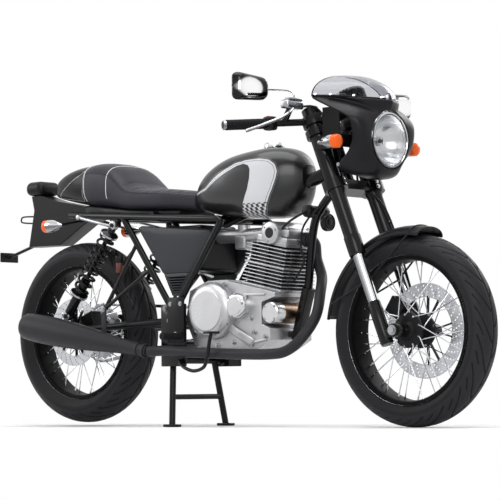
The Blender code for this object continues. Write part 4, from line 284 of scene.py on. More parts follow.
def measured(made, name, measure):
    """Stores a measure of each of a piece's points, for a finish to read."""
    store = made.data.attributes.new(name, "FLOAT", "POINT")
    for vert, item in zip(made.data.vertices, store.data):
        item.value = measure(vert.co)


EDGE_BLUR = 0.0002


def over(made, name, low, high, colour):
    """Lays a flat colour over a finish where the stored distance lies between low and high."""
    tree = made.node_tree
    base = tree.nodes["Principled BSDF"].inputs["Base Color"]
    stored = wired(tree, "Attribute", attribute_name=name).outputs["Fac"]
    rise = wired(tree, "MapRange", {"Value": stored, "From Min": low - EDGE_BLUR,
                                    "From Max": low + EDGE_BLUR})
    fall = wired(tree, "MapRange", {"Value": stored, "From Min": high - EDGE_BLUR,
                                    "From Max": high + EDGE_BLUR, "To Min": 1.0, "To Max": 0.0})
    mask = wired(tree, "Math", {0: rise.outputs["Result"], 1: fall.outputs["Result"]},
                 operation="MULTIPLY")
    mix = wired(tree, "Mix", {"Factor": mask.outputs["Value"], "A": base.links[0].from_socket,
                              "B": (*colour, 1)}, data_type="RGBA")
    tree.links.new(mix.outputs["Result"], base)
    return mix


TYRE_STEPS = 960
TREAD_POINTS = 52
GROOVES = 20
GROOVE_HALF = 0.12
GROOVE_DEPTH = 0.0032
GROOVE_SWEEP = 1.5
rubber = finish("tyre_rubber", srgb(30, 30, 32), 0.56, 0.0, 520, 0.08, 0.25, 0.10, 14)
# The tread's rubber is glossier than the walls', and its lighter colour is a painted highlight on
# the crown.
tread_rubber = finish("tread_rubber", srgb(38, 38, 41), 0.50, 0.0, 700, 0.08, 0.3, 0.12, 20)
# Painted shade: the groove floors, more than 1.3 mm under the crown, are painted near black.
over(tread_rubber, "groove_depth", 0.0013, 1.0, srgb(8, 8, 9))


def tyre(node, body, axle, radius, width, hand):
    """A tyre whose grooves sweep back from the middle of the tread to the shoulders."""
    half = width / 2
    middle = radius - width * 0.44
    profile = [(0.2220, 0.0392), (0.2220, -0.0392), (0.2284, -0.0396)]
    for i in range(TREAD_POINTS + 1):
        turn = math.pi / 2 * (2 * i / TREAD_POINTS - 1)
        rise = max(math.cos(turn), 0) ** 0.85
        profile.append((middle + (radius - middle) * rise, half * math.sin(turn)))
    profile.append((0.2284, 0.0396))
    part = bmesh.new()
    points = [part.verts.new((r, 0, y)) for r, y in profile]
    pairs = list(zip(points, points[1:] + points[:1]))
    edges = [part.edges.new(pair) for pair in pairs]
    bmesh.ops.spin(part, geom=points + edges, angle=math.tau, steps=TYRE_STEPS, axis=(0, 0, 1),
                   cent=(0, 0, 0), use_merge=True)
    for vert in part.verts:
        reach = math.hypot(vert.co.x, vert.co.y)
        across = abs(vert.co.z) / half
        if reach < middle + (radius - middle) * 0.12:
            ripple = 0.0006 * math.cos((reach - 0.23) * 900)
            vert.co.z += math.copysign(min(ripple, 0), vert.co.z)
            continue
        turn = math.atan2(vert.co.y, vert.co.x) / math.tau * GROOVES * hand
        side = 0.5 if vert.co.z > 0 else 0.0
        sweep = turn + side + across ** 1.5 * GROOVE_SWEEP
        near = abs((sweep % 1.0) - 0.5) * 2
        depth = 0.0
        if 0.10 < across < 0.90:
            depth = min(max(0.0, 1 - near / GROOVE_HALF) * 1.7, 1.0)
        inner = abs(((sweep + 0.5) % 1.0) - 0.5) * 2
        if 0.62 < across < 0.86:
            depth = max(depth, min(max(0.0, 1 - inner / GROOVE_HALF) * 1.7, 1.0))
        if across < 0.03:
            depth = 1.0
        share = 1 - GROOVE_DEPTH * depth / reach
        vert.co.x *= share
        vert.co.y *= share
    shape = bmesh.new()
    add(shape, part, facing(axle, SIDEWAYS))
    tread = middle + (radius - middle) * 0.30
    for face in shape.faces:
        spot = face.calc_center_median() - axle
        face.material_index = 1 if math.hypot(spot.x, spot.z) > tread else 0
    made = piece(node + "_treaded", shape, body, [rubber, tread_rubber], node, angle=50)

    def below_crown(place):
        """How deep a point lies under the round crown of the tread."""
        spot = place - axle
        across = min(abs(spot.y) / half, 1.0)
        crown = middle + (radius - middle) * (1 - across ** 2) ** 0.425
        return crown - math.hypot(spot.x, spot.z)

    measured(made, "groove_depth", below_crown)


tyre("front_tyre", "front_wheel_set", FRONT_AXLE, 0.2933, 0.110, 1)
tyre("rear_tyre", "rear_wheel_set", REAR_AXLE, 0.308, 0.127, -1)


# Wheels: rims drawn in alloy and coated black, with a machined edge, laced by plated steel
# spokes and nipples to black cast hubs that turn on their axles
def bar(shape, start, end, radius, sides=20, end_radius=None, slot=0, edge=0.0):
    """Adds a round bar or a cone between two points, with its ends rounded where asked."""
    last = radius if end_radius is None else end_radius
    length = (end - start).length
    if edge:
        profile = [(0, 0), (radius - edge, 0), (radius - edge * 0.3, edge * 0.3), (radius, edge),
                   (last, length - edge), (last - edge * 0.3, length - edge * 0.3),
                   (last - edge, length), (0, length)]
        lathe(shape, profile, start, end - start, sides, False, slot)
        return
    part = bmesh.new()
    bmesh.ops.create_cone(part, cap_ends=True, segments=sides, radius1=radius, radius2=last,
                          depth=length)
    add(shape, part, facing((start + end) / 2, end - start), slot)


rim_black = finish("rim_black", srgb(14, 14, 15), 0.42, 0.0, 300, 0.05, 0.05, 0.1, 18)
rim_black.node_tree.nodes["Principled BSDF"].inputs["Specular IOR Level"].default_value = 0.04
machined = finish("machined_alloy", srgb(205, 206, 210), 0.26, 1.0, 900, 0.08, 0.05, 0.06, 30,
                  fall=0.45)
spoke_steel = finish("spoke_steel", srgb(205, 206, 210), 0.22, 1.0, 500, 0.08, 0.03, 0.08, 40)
hub_black = finish("hub_black", srgb(18, 18, 20), 0.42, 0.0, 420, 0.1, 0.12, 0.12, 22)
SPOKES = 36
SPOKE_LEAN = math.radians(38)
SPOKE_FOOT = 0.048
SPOKE_TIP = 0.2150


def around(angle, reach, side=0.0):
    """A step away from an axle: the angle round it, how far out, and how far to the side."""
    return Vector((reach * math.cos(angle), side, reach * math.sin(angle)))


def wheel(node, body, axle, hub_half):
    """A rim of drawn alloy, crossed spokes with nipples, and a hub with its bearing caps."""
    shape = bmesh.new()
    rim = [(0.2278, 0.0450), (0.2210, 0.0446), (0.2168, 0.0430), (0.2140, 0.0380),
           (0.2128, 0.0300), (0.2122, 0.0230), (0.2112, 0.0120), (0.2112, -0.0120),
           (0.2122, -0.0230), (0.2128, -0.0300), (0.2140, -0.0380), (0.2168, -0.0430),
           (0.2210, -0.0446), (0.2278, -0.0450), (0.2278, -0.0402), (0.2217, -0.0400),
           (0.2160, -0.0180), (0.2160, 0.0180), (0.2217, 0.0400), (0.2278, 0.0402)]
    lathe(shape, rim, axle, SIDEWAYS, 160, True)
    for hand in (-1, 1):
        lip = [(0.2279, 0.0448), (0.2279, 0.0404), (0.2272, 0.0404), (0.2272, 0.0448),
               (0.2276, 0.0452)]
        lathe(shape, [(r, y * hand) for r, y in lip], axle, SIDEWAYS, 160, True, 1)
    hub = [(0.0090, hub_half), (0.0200, hub_half), (0.0210, hub_half - 0.002), (0.0290, 0.0420),
           (0.0300, 0.0400), (0.0520, 0.0372), (0.0538, 0.0355), (0.0538, 0.0300),
           (0.0520, 0.0280), (0.0330, 0.0240), (0.0290, 0.0180), (0.0280, 0.0),
           (0.0290, -0.0180), (0.0330, -0.0240), (0.0520, -0.0280), (0.0538, -0.0300),
           (0.0538, -0.0355), (0.0520, -0.0372), (0.0300, -0.0400), (0.0290, -0.0420),
           (0.0210, 0.002 - hub_half), (0.0200, -hub_half), (0.0090, -hub_half)]
    lathe(shape, hub, axle, SIDEWAYS, 64, True, 3)
    for i in range(SPOKES):
        hand = 1 if i % 2 else -1
        lean = 1 if (i // 2) % 2 else -1
        rim_angle = math.tau * i / SPOKES
        hub_angle = rim_angle + lean * SPOKE_LEAN
        start = axle + around(hub_angle, SPOKE_FOOT, hand * (0.033 + lean * 0.004))
        end = axle + around(rim_angle, SPOKE_TIP, hand * 0.008)
        along = (end - start).normalized()
        bar(shape, start, end, 0.0017, 8, slot=2)
        bar(shape, end - along * 0.016, end, 0.0026, 8, 0.0032, 2)
        bar(shape, start - SIDEWAYS * 0.003 * hand, start + SIDEWAYS * 0.0045 * hand, 0.0032, 10,
            slot=2)
    piece(node + "_laced", shape, body, [rim_black, machined, spoke_steel, hub_black], node)


wheel("front_wheel", "front_wheel_set", FRONT_AXLE, 0.050)
wheel("rear_wheel", "rear_wheel_set", REAR_AXLE, 0.060)

# Discs: bands of ground steel drilled through for cooling, riveted to black carriers that are
# bolted to the hubs
disc_steel = finish("ground_steel", srgb(196, 197, 201), 0.30, 1.0, 500, 0.07, 0.10, 0.08, 30)


def block(size, edge, segments):
    """A box with rounded edges, at the origin."""
    part = bmesh.new()
    bmesh.ops.create_cube(part, size=1)
    bmesh.ops.transform(part, matrix=Matrix.Diagonal((*size, 1)), verts=part.verts)
    bmesh.ops.bevel(part, geom=part.edges, offset=edge, segments=segments, profile=0.5,
                    affect="EDGES", material=-1)
    return part


def disc(node, body, centre, radius, rows):
    """A drilled band, its carrier arms with bolts, and bobbins between them."""
    band = radius * 0.70
    half = 0.0022
    shape = bmesh.new()
    lathe(shape, [(radius, half - 0.0004), (radius, 0.0004 - half), (radius - 0.0006, -half),
                  (band, -half), (band, half), (radius - 0.0006, half)], centre, SIDEWAYS, 128,
          True)
    made = piece(node + "_band", shape, body, [disc_steel], node)
    holes = bmesh.new()
    for i in range(rows):
        for k in range(4):
            angle = math.tau * (i + k * 0.22) / rows
            reach = band + (radius - band) * (0.16 + 0.22 * k)
            spot = centre + around(angle, reach)
            bar(holes, spot - SIDEWAYS * 0.006, spot + SIDEWAYS * 0.006, 0.0030, 10)
    mesh = bpy.data.meshes.new(node + "_drill")
    holes.to_mesh(mesh)
    holes.free()
    drill = placed(node + "_drill", mesh)
    cutter = made.modifiers.new("Drilling", "BOOLEAN")
    cutter.operation = "DIFFERENCE"
    cutter.object = drill
    cutter.solver = "EXACT"
    bpy.context.view_layer.update()
    cut = bpy.data.meshes.new_from_object(made.evaluated_get(
        bpy.context.evaluated_depsgraph_get()))
    made.modifiers.clear()
    cut.shade_smooth()
    cut.set_sharp_from_angle(angle=math.radians(30))
    made.data = cut
    bpy.data.objects.remove(drill)
    carrier = bmesh.new()
    lathe(carrier, [(0.036, 0.0021), (0.036, -0.0021), (0.0165, -0.0021), (0.0165, 0.0021)],
          centre, SIDEWAYS, 48, True)
    for i in range(5):
        for swing in (-0.16, 0.16):
            start = centre + around(math.tau * (i + swing * 0.3) / 5, 0.030)
            end = centre + around(math.tau * (i + swing) / 5, band + 0.004)
            part = block(((end - start).length, 0.0040, 0.0105), 0.0008, 2)
            line = (end - start).to_track_quat("X", "Y").to_matrix().to_4x4()
            add(carrier, part, Matrix.Translation((start + end) / 2) @ line)
            bar(carrier, end - SIDEWAYS * 0.0036, end + SIDEWAYS * 0.0036, 0.0062, 20, slot=1,
                edge=0.0008)
    for i in range(5):
        spot = centre + around(math.tau * i / 5, 0.027)
        bar(carrier, spot - SIDEWAYS * 0.0045, spot + SIDEWAYS * 0.0045, 0.0048, 6, slot=1)
    piece(node + "_carrier", carrier, body, [hub_black, disc_steel])


disc("front_disc", "front_wheel_set", FRONT_AXLE + Vector((0, 0.05255, 0)), 0.146, 30)
disc("rear_disc", "rear_wheel_set", REAR_AXLE - Vector((0, 0.06255, 0)), 0.115, 24)

# Engine: one cylinder in bright cast alloy, with a finned barrel and head held by long studs,
# and a crankcase closed by domed covers, all joined with plated bolts
cast = finish("cast_alloy", srgb(204, 204, 207), 0.38, 0.85, 650, 0.10, 0.22, 0.10, 26, fall=0.30)
polished = finish("polished_alloy", srgb(226, 226, 228), 0.24, 0.9, 500, 0.06, 0.04, 0.04, 12,
                  fall=0.25)
# Painted shade: a dark alloy laid on recessed faces, the barrel's core and the studs between its
# fins, the cam cover's end faces, the sight glass and the lamp's bulb socket.
recess_shade_paint = finish("recess_painted_shade", srgb(44, 44, 46), 0.5, 0.8, 400, 0.1, 0.2, 0.2, 30)
bolt_chrome = finish("bolt_chrome", srgb(225, 226, 230), 0.14, 1.0, 300, 0.05, 0.02, 0.05, 60,
                     fall=0.6)
ENGINE_LEAN = math.radians(12)
RAKE = math.radians(22.05)
HEAD_AXIS = Vector((-math.sin(RAKE), 0, math.cos(RAKE)))


def engine_point(forward, side, up):
    """A point from the middle of the cylinder's foot, along its lean."""
    lean = Vector((math.sin(ENGINE_LEAN), 0, math.cos(ENGINE_LEAN)))
    ahead = Vector((math.cos(ENGINE_LEAN), 0, -math.sin(ENGINE_LEAN)))
    return at(0.868, side, 0.440) + ahead * forward + lean * up


def slab(shape, size, centre, lean=0.0, edge=0.002, segments=2, slot=0):
    """Adds a box with rounded edges, turned about the Y axis."""
    part = block(size, min(edge, min(size) * 0.45), segments)
    add(shape, part, Matrix.Translation(centre) @ Matrix.Rotation(lean, 4, "Y"), slot)


def bolt(shape, centre, axis, radius, slot=0, rise=None):
    """Adds a hexagon bolt head on its washer."""
    out = axis.normalized()
    tall = radius * 0.9 if rise is None else rise
    bar(shape, centre, centre + out * tall * 0.3, radius * 1.35, 20, slot=slot)
    bar(shape, centre + out * tall * 0.3, centre + out * tall, radius, 6, slot=slot)


def refined(node, body, materials, width=0.0015, angle=32):
    """A CAD node's own shape with its edges rounded, in a finer finish."""
    shape = bmesh.new()
    shape.from_mesh(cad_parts[node].data)
    bmesh.ops.remove_doubles(shape, verts=shape.verts, dist=0.00001)
    bmesh.ops.dissolve_limit(shape, angle_limit=math.radians(1), verts=shape.verts,
                             edges=shape.edges)
    bmesh.ops.recalc_face_normals(shape, faces=shape.faces)
    for face in shape.faces:
        face.material_index = 0
    made = piece(node + "_finished", shape, body, materials, node, angle=40)
    rounding = made.modifiers.new("Rounding", "BEVEL")
    rounding.width = width
    rounding.segments = 2
    rounding.limit_method = "ANGLE"
    rounding.angle_limit = math.radians(angle)
    rounding.harden_normals = True
    return made


barrel = bmesh.new()
FIN_PITCH = 0.0115
for i in range(12):
    rise = FIN_PITCH * (i + 0.5) + 0.0005
    slab(barrel, (0.170, 0.160, 0.0030), engine_point(0, 0, rise), ENGINE_LEAN, 0.0012)
# The barrel's core and the studs between the fins take the dark recess paint, as painted shade.
slab(barrel, (0.138, 0.128, 0.138), engine_point(0, 0, 0.0695), ENGINE_LEAN, 0.010, 4, 1)
slab(barrel, (0.169, 0.159, 0.0080), engine_point(0, 0, 0.0046), ENGINE_LEAN, 0.003)
slab(barrel, (0.168, 0.158, 0.0065), engine_point(0, 0, 0.0745), ENGINE_LEAN, 0.002)
for forward in (-0.062, 0.0, 0.062):
    for hand in (-1, 1):
        bar(barrel, engine_point(forward, hand * 0.0715, 0.002),
            engine_point(forward, hand * 0.0715, 0.1375), 0.0052, 20, slot=1)
for forward in (-0.077, 0.077):
    for side in (-0.045, 0.0, 0.045):
        bar(barrel, engine_point(forward, side, 0.002), engine_point(forward, side, 0.1375),
            0.0040, 16, slot=1)
piece("barrel_fins", barrel, "chassis", [cast, recess_shade_paint], "cylinder")

head = bmesh.new()
slab(head, (0.128, 0.126, 0.030), engine_point(0, 0, 0.1550), ENGINE_LEAN, 0.006, 3)
slab(head, (0.118, 0.110, 0.030), engine_point(0, 0, 0.1850), ENGINE_LEAN, 0.009, 3)
for i in range(3):
    slab(head, (0.130, 0.128, 0.0028), engine_point(0, 0, 0.1420 + i * 0.0085), ENGINE_LEAN,
         0.0012)
cam_middle = 0.139 + 0.038
lathe(head, [(0, -0.0775), (0.030, -0.0775), (0.0345, -0.0755), (0.0372, -0.070), (0.0378, 0.0),
             (0.0372, 0.070), (0.0345, 0.0755), (0.030, 0.0775), (0, 0.0775)],
      engine_point(0, 0, cam_middle), SIDEWAYS, 64)
for hand in (-1, 1):
    lathe(head, [(0.0205, 0.0), (0.0205, 0.0012), (0.0175, 0.0012), (0.0175, 0.0)],
          engine_point(0, hand * 0.0770, cam_middle), SIDEWAYS * hand, 48, True)
    lathe(head, [(0, 0.0006), (0.0170, 0.0006), (0.0170, 0.0)],
          engine_point(0, hand * 0.0772, cam_middle), SIDEWAYS * hand, 48, False, 1)
    for k in range(3):
        angle = math.tau * (k + 0.25) / 3
        bolt(head, engine_point(0.027 * math.cos(angle), hand * 0.0745,
                                cam_middle + 0.027 * math.sin(angle)), SIDEWAYS * hand, 0.0036, 2,
             0.003)
    for forward in (-0.050, 0.050):
        bolt(head, engine_point(forward, hand * 0.048, 0.199), HEAD_AXIS, 0.0055, 2)
piece("cam_cover", head, "chassis", [cast, recess_shade_paint, bolt_chrome], "cylinder_head")

refined("crankcase", "chassis", [cast], 0.004)
studs = bmesh.new()
for x, z in ((0.610, 0.300), (0.600, 0.420), (0.655, 0.452), (0.735, 0.455), (0.860, 0.300),
             (0.845, 0.345), (0.770, 0.270), (0.700, 0.262), (0.905, 0.285)):
    for hand in (-1, 1):
        spot = at(x, hand * 0.0995, z)
        bar(studs, spot - SIDEWAYS * 0.004 * hand, spot + SIDEWAYS * 0.005 * hand, 0.0095, 24,
            0.0080)
        bolt(studs, spot + SIDEWAYS * 0.005 * hand, SIDEWAYS * hand, 0.0055, 1)
slab(studs, (0.150, 0.012, 0.030), at(0.790, -0.1035, 0.300), 0.5, 0.005, 3)
sight = at(0.7569, -0.1000, 0.3122)
lathe(studs, [(0.0150, 0.0), (0.0150, 0.0050), (0.0135, 0.0062), (0.0112, 0.0062),
              (0.0105, 0.0045), (0.0105, 0.0)], sight, -SIDEWAYS, 40, True, 1)
lathe(studs, [(0, 0.0), (0.0106, 0.0), (0.0106, 0.0040), (0.0060, 0.0052), (0, 0.0055)], sight,
      -SIDEWAYS, 40, False, 2)
for x, z, length, lean in ((0.850, 0.4195, 0.110, 0.02), (0.655, 0.4900, 0.060, 0.30),
                           (0.870, 0.2700, 0.080, -0.15)):
    slab(studs, (length, 0.010, 0.0085), at(x, -0.1010, z), lean, 0.003, 3)
piece("case_studs", studs, "chassis", [cast, bolt_chrome, recess_shade_paint])

COVER_FACE = 0.1003
for node, hand in (("clutch_cover", -1), ("generator_cover", 1)):
    out = SIDEWAYS * hand
    large = at(0.690, hand * COVER_FACE, 0.372)
    small = at(0.802, hand * COVER_FACE, 0.384)
    cover = bmesh.new()
    lathe(cover, [(0, 0.0), (0.0918, 0.0), (0.0918, 0.0180), (0.0900, 0.0235), (0.0850, 0.0330),
                  (0.0780, 0.0395), (0.0700, 0.0425), (0.0655, 0.0430), (0.0645, 0.0445),
                  (0.0630, 0.0449)], large, out, 96, True)
    lathe(cover, [(0, 0.0449), (0.0628, 0.0449), (0.0628, 0.0400), (0, 0.0400)],
          large, out, 96, False, 1)
    lathe(cover, [(0, 0.0), (0.0419, 0.0), (0.0419, 0.0180), (0.0400, 0.0270), (0.0350, 0.0325),
                  (0.0290, 0.0335), (0.0280, 0.0352), (0, 0.0358)],
          small, out, 72, False, 1)
    for k in range(3):
        angle = math.tau * (k + 0.1) / 3
        bolt(cover, small + out * 0.0322 + around(angle, 0.0345), out, 0.0034, 2, 0.003)
    for k in range(7):
        angle = math.tau * (k + 0.4) / 7
        bolt(cover, large + out * 0.0262 + around(angle, 0.0868), out, 0.0040, 2, 0.0035)
    piece(node + "_domed", cover, "chassis", [cast, polished, bolt_chrome], node)

starter_tint = finish("starter_body", srgb(150, 124, 104), 0.34, 1.0, 300, 0.08, 0.1, 0.16, 12,
                      fall=0.4)
starter = bmesh.new()
starter_foot = at(0.9236, -0.1018, 0.360)
lathe(starter, [(0, 0.0), (0.0300, 0.0), (0.0335, 0.003), (0.0343, 0.010), (0.0343, 0.040),
                (0, 0.040)], starter_foot, SIDEWAYS, 64)
lathe(starter, [(0, 0.039), (0.0325, 0.039), (0.0325, 0.150), (0.0300, 0.161), (0, 0.1615)],
      starter_foot, SIDEWAYS, 64, False, 1)
for forward, up in ((-0.020, 0.020), (0.020, -0.020), (0.020, 0.020), (-0.020, -0.020)):
    bolt(starter, at(0.9236 + forward, -0.1012, 0.360 + up), -SIDEWAYS, 0.0032, 2, 0.0022)
piece("starter_can", starter, "chassis", [polished, starter_tint, bolt_chrome], "starter_motor")
refined("carburettor", "chassis", [cast], 0.002)

# Exhaust: a bent steel pipe from the port and a long cone muffler hung from the frame, both
# in a heat-proof matt black coat
def smooth_route(points, steps):
    """Points along a smooth curve through the route's own points."""
    ends = [points[0] * 2 - points[1], *points, points[-1] * 2 - points[-2]]
    route = []
    for before, start, end, after in zip(ends, ends[1:], ends[2:], ends[3:]):
        for i in range(steps):
            t = i / steps
            route.append((start * 2 + (end - before) * t
                          + (before * 2 - start * 5 + end * 4 - after) * t ** 2
                          + (start * 3 - before - end * 3 + after) * t ** 3) / 2)
    route.append(points[-1])
    return route


def hose(shape, points, radius, steps=8, rounds=4, slot=0):
    """Adds a bent tube along a smooth curve through the points."""
    curve = bpy.data.curves.new("route", "CURVE")
    curve.dimensions = "3D"
    curve.bevel_depth = radius
    curve.bevel_resolution = rounds
    curve.use_fill_caps = True
    route = smooth_route(points, steps) if steps > 1 else points
    line = curve.splines.new("POLY")
    line.points.add(len(route) - 1)
    for knot, point in zip(line.points, route):
        knot.co = (*point, 1)
    carrier = placed("route", curve)
    bpy.context.view_layer.update()
    mesh = bpy.data.meshes.new_from_object(
        carrier.evaluated_get(bpy.context.evaluated_depsgraph_get()))
    part = bmesh.new()
    part.from_mesh(mesh)
    bpy.data.objects.remove(carrier)
    add(shape, part, None, slot)


matt = finish("exhaust_coat", srgb(44, 44, 47), 0.42, 0.0, 900, 0.06, 0.25, 0.10, 7)
PIPE_RADIUS = 0.0170
port = engine_point(0.065 + PIPE_RADIUS * 0.35, PIPE_RADIUS * 1.3, 0.138 + 0.032)
pipe_route = [port, port + Vector((PIPE_RADIUS, PIPE_RADIUS * 0.2, 0)), at(1.002, 0.033, 0.575),
              at(1.005, 0.036, 0.530), at(1.036, 0.022, 0.475), at(1.068, -0.022, 0.425),
              at(1.090, -0.071, 0.347), at(1.072, -0.112, 0.283), at(1.030, -0.138, 0.240),
              at(0.965, -0.152, 0.2285), at(0.780, -0.156, 0.233), at(0.535, -0.156, 0.246)]
MUFFLER_FRONT = at(0.450, -0.167, 0.2464)
MUFFLER_REAR = at(-0.105, -0.190, 0.3422)
MUFFLER_RADIUS = 0.0485
muffler_along = MUFFLER_REAR - MUFFLER_FRONT
pipe_route.append(MUFFLER_FRONT - muffler_along.normalized() * 0.006)
pipe = bmesh.new()
hose(pipe, pipe_route, PIPE_RADIUS, 10, 6)
bar(pipe, port - Vector((0.004, 0, 0)), port + Vector((0.010, 0.001, 0)), 0.0235, 32, edge=0.002)
piece("header_pipe", pipe, "chassis", [matt], "exhaust_pipe", angle=60)
muffler = bmesh.new()
MUFFLER_SHARES = ((0.00, 0.36), (0.05, 0.38), (0.10, 0.425), (0.20, 0.52), (0.30, 0.62),
                  (0.42, 0.755), (0.55, 0.88), (0.66, 0.955), (0.75, 0.995), (0.83, 1.0),
                  (0.90, 0.98), (0.955, 0.945), (0.985, 0.90), (0.995, 0.84))
length = muffler_along.length
profile = [(MUFFLER_RADIUS * wide, length * share) for share, wide in MUFFLER_SHARES]
profile += [(0.0250, length * 0.999), (0.0225, length), (0.0200, length * 0.999),
            (0.0200, length - 0.040), (0, length - 0.040)]
lathe(muffler, [(0, 0)] + profile, MUFFLER_FRONT, muffler_along, 96)
for start in (0.006, 0.036):
    wide = MUFFLER_RADIUS * 0.42
    lathe(muffler, [(wide, start), (wide + 0.0022, start + 0.001), (wide + 0.0022, start + 0.011),
                    (wide, start + 0.012), (wide - 0.003, start + 0.006)], MUFFLER_FRONT,
          muffler_along, 48, True)
share = (0.450 - 0.250) / 0.555
hang_low = MUFFLER_FRONT.lerp(MUFFLER_REAR, share)
slab(muffler, (0.022, 0.005, 0.395 - hang_low.z), at(0.250, -0.1676, (0.395 + hang_low.z) / 2), 0,
     0.002)
bolt(muffler, at(0.250, -0.1700, 0.388), -SIDEWAYS, 0.0065, 1)
piece("cone_muffler", muffler, "chassis", [matt, bolt_chrome], "muffler", angle=40)


# Fuel tank: pressed steel in satin black, with a silver band, a matt knee panel, chequers by
# the band's foot and a fine dark line down its front edge, and a plated filler cap
def oval(x, half_width, bottom, top, points, squareness):
    """A rounded section across the machine, square where squareness is near 0."""
    ring = []
    for i in range(points):
        turn = math.tau * (i + 0.5) / points
        across = math.copysign(abs(math.cos(turn)) ** squareness, math.cos(turn))
        up = math.copysign(abs(math.sin(turn)) ** squareness, math.sin(turn))
        ring.append(at(x, half_width * across, (bottom + top) / 2 + (top - bottom) / 2 * up))
    return ring


def skin(shape, rows, slot=0):
    """Adds a closed skin over rings of points, bridged from ring to ring."""
    part = bmesh.new()
    loops = []
    for row in rows:
        points = [part.verts.new(point) for point in row]
        loops.append([part.edges.new(pair) for pair in zip(points, points[1:] + points[:1])])
    for near, far in zip(loops, loops[1:]):
        bmesh.ops.bridge_loops(part, edges=near + far)
    bmesh.ops.edgeloop_fill(part, edges=loops[0])
    bmesh.ops.edgeloop_fill(part, edges=loops[-1])
    add(shape, part, None, slot)


def between(rows, steps):
    """Rows of numbers along a smooth curve through the given rows."""
    ends = [rows[0], *rows, rows[-1]]
    made = []
    for a, b, c, d in zip(ends, ends[1:], ends[2:], ends[3:]):
        for i in range(steps):
            t = i / steps
            made.append(tuple(
                (2 * q + (r - p) * t + (2 * p - 5 * q + 4 * r - s) * t * t
                 + (3 * q - p - 3 * r + s) * t ** 3) / 2 for p, q, r, s in zip(a, b, c, d)))
    made.append(rows[-1])
    return made


def off_outline(x, z, outline):
    """How far a place lies inside a closed side-view outline, negative outside it."""
    best = 1.0
    inside = False
    for (ax, az), (bx, bz) in zip(outline, outline[1:] + outline[:1]):
        share = ((x - ax) * (bx - ax) + (z - az) * (bz - az)) / ((bx - ax) ** 2 + (bz - az) ** 2)
        share = min(max(share, 0), 1)
        best = min(best, math.hypot(x - ax - (bx - ax) * share, z - az - (bz - az) * share))
        if (az > z) != (bz > z) and x < ax + (bx - ax) * (z - az) / (bz - az):
            inside = not inside
    return best if inside else -best


def drawn(made, name, outline):
    """Stores each point's distance inside the outline, for a paint to follow."""
    measured(made, name, lambda place: off_outline(place.x - REAR_X, place.z, outline))


# Side-view outlines of the painted band and of the knee panel: along from the rear axle, height
BAND_OUTLINE = [
    (0.5600, 0.6000), (0.5600, 0.7470), (0.6641, 0.7670), (0.7071, 0.7940), (0.7527, 0.8185),
    (0.7991, 0.8397), (0.8409, 0.8465), (0.8871, 0.8491), (0.9210, 0.8436), (0.9414, 0.8280),
    (0.9495, 0.8062), (0.9453, 0.7809), (0.9339, 0.7475), (0.9175, 0.7147), (0.8985, 0.6868),
    (0.8771, 0.6721), (0.8771, 0.6000),
]
KNEE_OUTLINE = [
    (0.5000, 0.6000), (0.5000, 0.7298), (0.6676, 0.7598), (0.7212, 0.7903), (0.7668, 0.8131),
    (0.8085, 0.8303), (0.8336, 0.8352), (0.8521, 0.8300), (0.8628, 0.8167), (0.8630, 0.7889),
    (0.8534, 0.7511), (0.8335, 0.7186), (0.8092, 0.6912), (0.7910, 0.6796), (0.7910, 0.6000),
]
SILVER = srgb(205, 206, 210)
INK = srgb(24, 24, 26)
CHEQUER_SIZE = 0.0098
CHEQUER_TOP = 0.7091
TANK_REAR = 0.575
TANK_LENGTH = 0.435
TANK_HALF = 0.128
TANK_LOW = 0.660
TANK_TALL = 0.230
TANK_ROWS = (
    (0.00, 0.35, 0.28, 0.34), (0.02, 0.52, 0.19, 0.46), (0.08, 0.72, 0.15, 0.64),
    (0.20, 0.90, 0.10, 0.80), (0.36, 1.00, 0.07, 0.92), (0.55, 1.00, 0.03, 0.98),
    (0.72, 0.92, 0.02, 1.00), (0.85, 0.72, 0.06, 0.96), (0.94, 0.48, 0.20, 0.86),
    (1.00, 0.26, 0.38, 0.72),
)
satin = finish("satin_black", srgb(17, 17, 19), 0.36, 0.0, 700, 0.05, 0.05, 0.06, 5, 0.15)
tank_paint = finish("tank_paint", srgb(16, 16, 18), 0.30, 0.0, 900, 0.04, 0.04, 0.05, 5, 0.35)
tank_shader = tank_paint.node_tree.nodes["Principled BSDF"]
tank_shader.inputs["Specular IOR Level"].default_value = 0.40
mix = over(tank_paint, "band", 0.0, 1.0, SILVER)
tank_tree = tank_paint.node_tree
place = wired(tank_tree, "TexCoord").outputs["Object"]
flat = wired(tank_tree, "Mapping", {"Vector": place, "Scale": (1, 0, 1),
                                    "Location": (0, 0.001, 0)})
squares = wired(tank_tree, "TexChecker", {"Vector": flat.outputs["Vector"],
                                          "Scale": 1 / CHEQUER_SIZE, "Color1": (*INK, 1),
                                          "Color2": (*SILVER, 1)})
split = wired(tank_tree, "SeparateXYZ", {"Vector": place})
foot = wired(tank_tree, "Math", {0: split.outputs["Z"], 1: CHEQUER_TOP}, operation="LESS_THAN")
band = wired(tank_tree, "Mix", {"Factor": foot.outputs["Value"], "A": (*SILVER, 1),
                                "B": squares.outputs["Color"]}, data_type="RGBA")
tank_tree.links.new(band.outputs["Result"], mix.inputs["B"])
over(tank_paint, "band", 0.0052, 0.0064, srgb(30, 30, 32))
over(tank_paint, "band", -0.0040, -0.0030, srgb(120, 121, 125))
over(tank_paint, "knee", 0.0, 1.0, srgb(34, 34, 36))
tank = bmesh.new()
skin(tank, [oval(TANK_REAR + TANK_LENGTH * along, TANK_HALF * wide, TANK_LOW + TANK_TALL * low,
                 TANK_LOW + TANK_TALL * high, 96, 0.75)
            for along, wide, low, high in between(TANK_ROWS, 12)])
tank_piece = piece("tank_shell", tank, "chassis", [tank_paint], "fuel_tank", angle=60)
drawn(tank_piece, "band", BAND_OUTLINE)
drawn(tank_piece, "knee", KNEE_OUTLINE)
chrome = finish("chrome_plate", srgb(232, 233, 236), 0.10, 1.0, 200, 0.04, 0.01, 0.03, 30,
                fall=0.8)
cap = bmesh.new()
